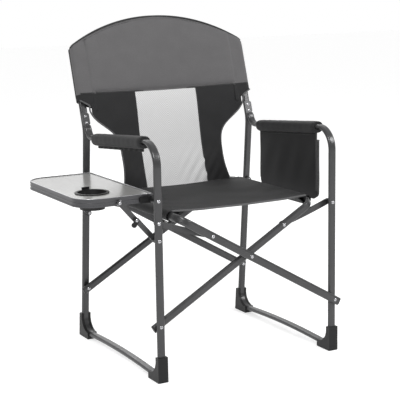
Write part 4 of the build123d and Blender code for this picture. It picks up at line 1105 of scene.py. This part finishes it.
# ---------------------------------------------------------------- table edge
@dataclass
class TableEdge:
    """Rounded beads round the table's rim: a pale one on its top edge and a dark one at half height.

    Attributes:
        outer: Corner radius on the outside of the chair.
        inner: Corner radius beside the chair.
    """

    outer: float = 58.0 * MM
    inner: float = 10.0 * MM
    bead: float = 1.5 * MM

    def outline(self, inset: float, height: float) -> np.ndarray:
        """The rim's outline as points, starting in the middle of the side beside the chair.

        Args:
            inset: How far inside the rim's box the line runs.
            height: Height of the line above the ground.

        Returns:
            Points, n by 3.
        """
        low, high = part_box("table_rim")
        corners = [
            (high.x, high.y, self.inner, 0.0),
            (low.x, high.y, self.outer, 90.0),
            (low.x, low.y, self.outer, 180.0),
            (high.x, low.y, self.inner, 270.0),
        ]
        turn = np.radians(np.linspace(0, 90, 14))
        parts = []
        for x, y, radius, start in corners:
            side_x = 1 if x > (low.x + high.x) / 2 else -1
            side_y = 1 if y > (low.y + high.y) / 2 else -1
            angle = turn + math.radians(start)
            parts.append(np.stack([
                x - side_x * radius + (radius - inset) * np.cos(angle),
                y - side_y * radius + (radius - inset) * np.sin(angle),
            ], axis=-1))
        middle = np.array([[high.x - inset, (low.y + high.y) / 2]])
        flat = np.concatenate([middle, *parts, middle])
        return np.column_stack([flat, np.full(len(flat), height)])

    def build(self) -> None:
        """Make the beads and let them ride on the table."""
        low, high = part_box("table_rim")
        upward = np.array([0.0, 0.0, 1.0])
        pale = self.outline(1.6 * MM, high.z - 0.2 * MM)
        dark = self.outline(1.4 * MM, (low.z + high.z) / 2)
        rows = {
            "table_bead_top": (pale, self.bead, BEAD_METAL),
            "table_bead_middle": (dark, 1.3 * MM, TRIM_METAL),
        }
        for name, (path, radius, finish) in rows.items():
            bead = cord_along(name, path, radius, finish, upward)
            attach(bead, "table")
        LOG.info("table edge built")


# ---------------------------------------------------------------- hardware and studio
def dress_hardware() -> None:
    """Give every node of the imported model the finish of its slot."""
    for name, node in frame["nodes"].items():
        finish = SLOT_FINISH[SLOT_OF[name]]
        node.data.materials.clear()
        node.data.materials.append(finish.build())
    LOG.info("dressed %d nodes", len(frame["nodes"]))


@dataclass
class Studio:
    """A pale floor, soft lights and the camera.

    Attributes:
        eye: The camera's place.
        yaw: Turn to the chair's left of straight ahead, degrees.
        pitch: How far it looks down, degrees.
        roll: Tilt about its own axis, degrees.
        lens: Focal length in millimetres on a 36 mm sensor.
        sky: Strength of the white backdrop behind the chair.
        room: Strength of the dimmer room on the camera's side, which the gloss reflects.
    """

    eye: tuple[float, float, float] = (-1.5530, -3.0111, 1.0635)
    yaw: float = -28.56
    pitch: float = 10.64
    roll: float = -0.925
    lens: float = 109.76
    sky: float = 1.0
    room: float = 0.35

    def camera(self) -> None:
        """Point the camera with its right, up and back axes worked out from the three angles."""
        yaw, pitch, roll = (math.radians(a) for a in (self.yaw, self.pitch, self.roll))
        back = Vector((math.sin(yaw) * math.cos(pitch), -math.cos(yaw) * math.cos(pitch), math.sin(pitch)))
        right = (-back).cross(Vector((0, 0, 1))).normalized()
        up = right.cross(-back)
        turned = math.cos(roll) * right + math.sin(roll) * up
        upright = -math.sin(roll) * right + math.cos(roll) * up
        data = bpy.data.cameras.new("camera")
        data.lens = self.lens
        data.sensor_width = 36.0
        camera = bpy.data.objects.new("camera", data)
        rotation = Matrix((turned, upright, back)).transposed().to_4x4()
        camera.matrix_world = Matrix.Translation(self.eye) @ rotation
        bpy.context.scene.collection.objects.link(camera)
        bpy.context.scene.camera = camera

    def lamp(self, name: str, place: tuple, size: float, power: float, target: Vector) -> None:
        """A square soft light that points at the target."""
        data = bpy.data.lights.new(name, "AREA")
        data.shape = "SQUARE"
        data.size = size
        data.energy = power
        lamp = bpy.data.objects.new(name, data)
        lamp.location = place
        lamp.rotation_euler = (target - Vector(place)).to_track_quat("-Z", "Y").to_euler()
        bpy.context.scene.collection.objects.link(lamp)

    def build(self) -> None:
        """Make the floor, the world, the lights and the camera."""
        floor_mesh = bpy.data.meshes.new("floor")
        reach = 14.0
        corners = [(-reach, -reach, 0), (reach, -reach, 0), (reach, reach, 0), (-reach, reach, 0)]
        floor_mesh.from_pydata(corners, [], [(0, 1, 2, 3)])
        floor_mesh.materials.append(FLOOR_PAINT.build())
        floor = bpy.data.objects.new("floor", floor_mesh)
        bpy.context.scene.collection.objects.link(floor)
        world = bpy.data.worlds.new("studio")
        world.use_nodes = True
        tree = world.node_tree
        way = add_node(tree, "ShaderNodeTexCoord").outputs["Generated"]
        ahead = (-math.sin(math.radians(self.yaw)), math.cos(math.radians(self.yaw)), 0.0)
        facing = add_node(tree, "ShaderNodeVectorMath", {0: way, 1: ahead}, operation="DOT_PRODUCT")
        tone = add_node(
            tree, "ShaderNodeMapRange",
            {
                "Value": facing.outputs["Value"], "From Min": -0.6, "From Max": 0.75,
                "To Min": self.room, "To Max": self.sky,
            },
            interpolation_type="SMOOTHSTEP",
        )
        background = tree.nodes["Background"]
        background.inputs["Color"].default_value = (1.0, 1.0, 1.0, 1.0)
        tree.links.new(tone.outputs["Result"], background.inputs["Strength"])
        bpy.context.scene.world = world
        # Colours come out as their hex values, with no film curve over them.
        bpy.context.scene.view_settings.view_transform = "Standard"
        target = Vector((0.0, 0.0, 0.45))
        self.lamp("key", (-2.2, -2.6, 3.4), 1.0, 110.0, target)
        self.lamp("fill", (2.4, -2.6, 2.8), 0.8, 55.0, target)
        self.lamp("rim", (0.6, 3.2, 2.6), 2.0, 40.0, target)
        self.camera()


def main() -> None:
    """Build every assembly in order."""
    logging.basicConfig(level=logging.INFO, format="%(name)s: %(message)s")
    dress_hardware()
    Seat().build()
    Back().build()
    for side in Side:
        ArmPad(side).build()
    Pouch().build()
    TableEdge().build()
    Studio().build()


if __name__ == "__main__":
    main()
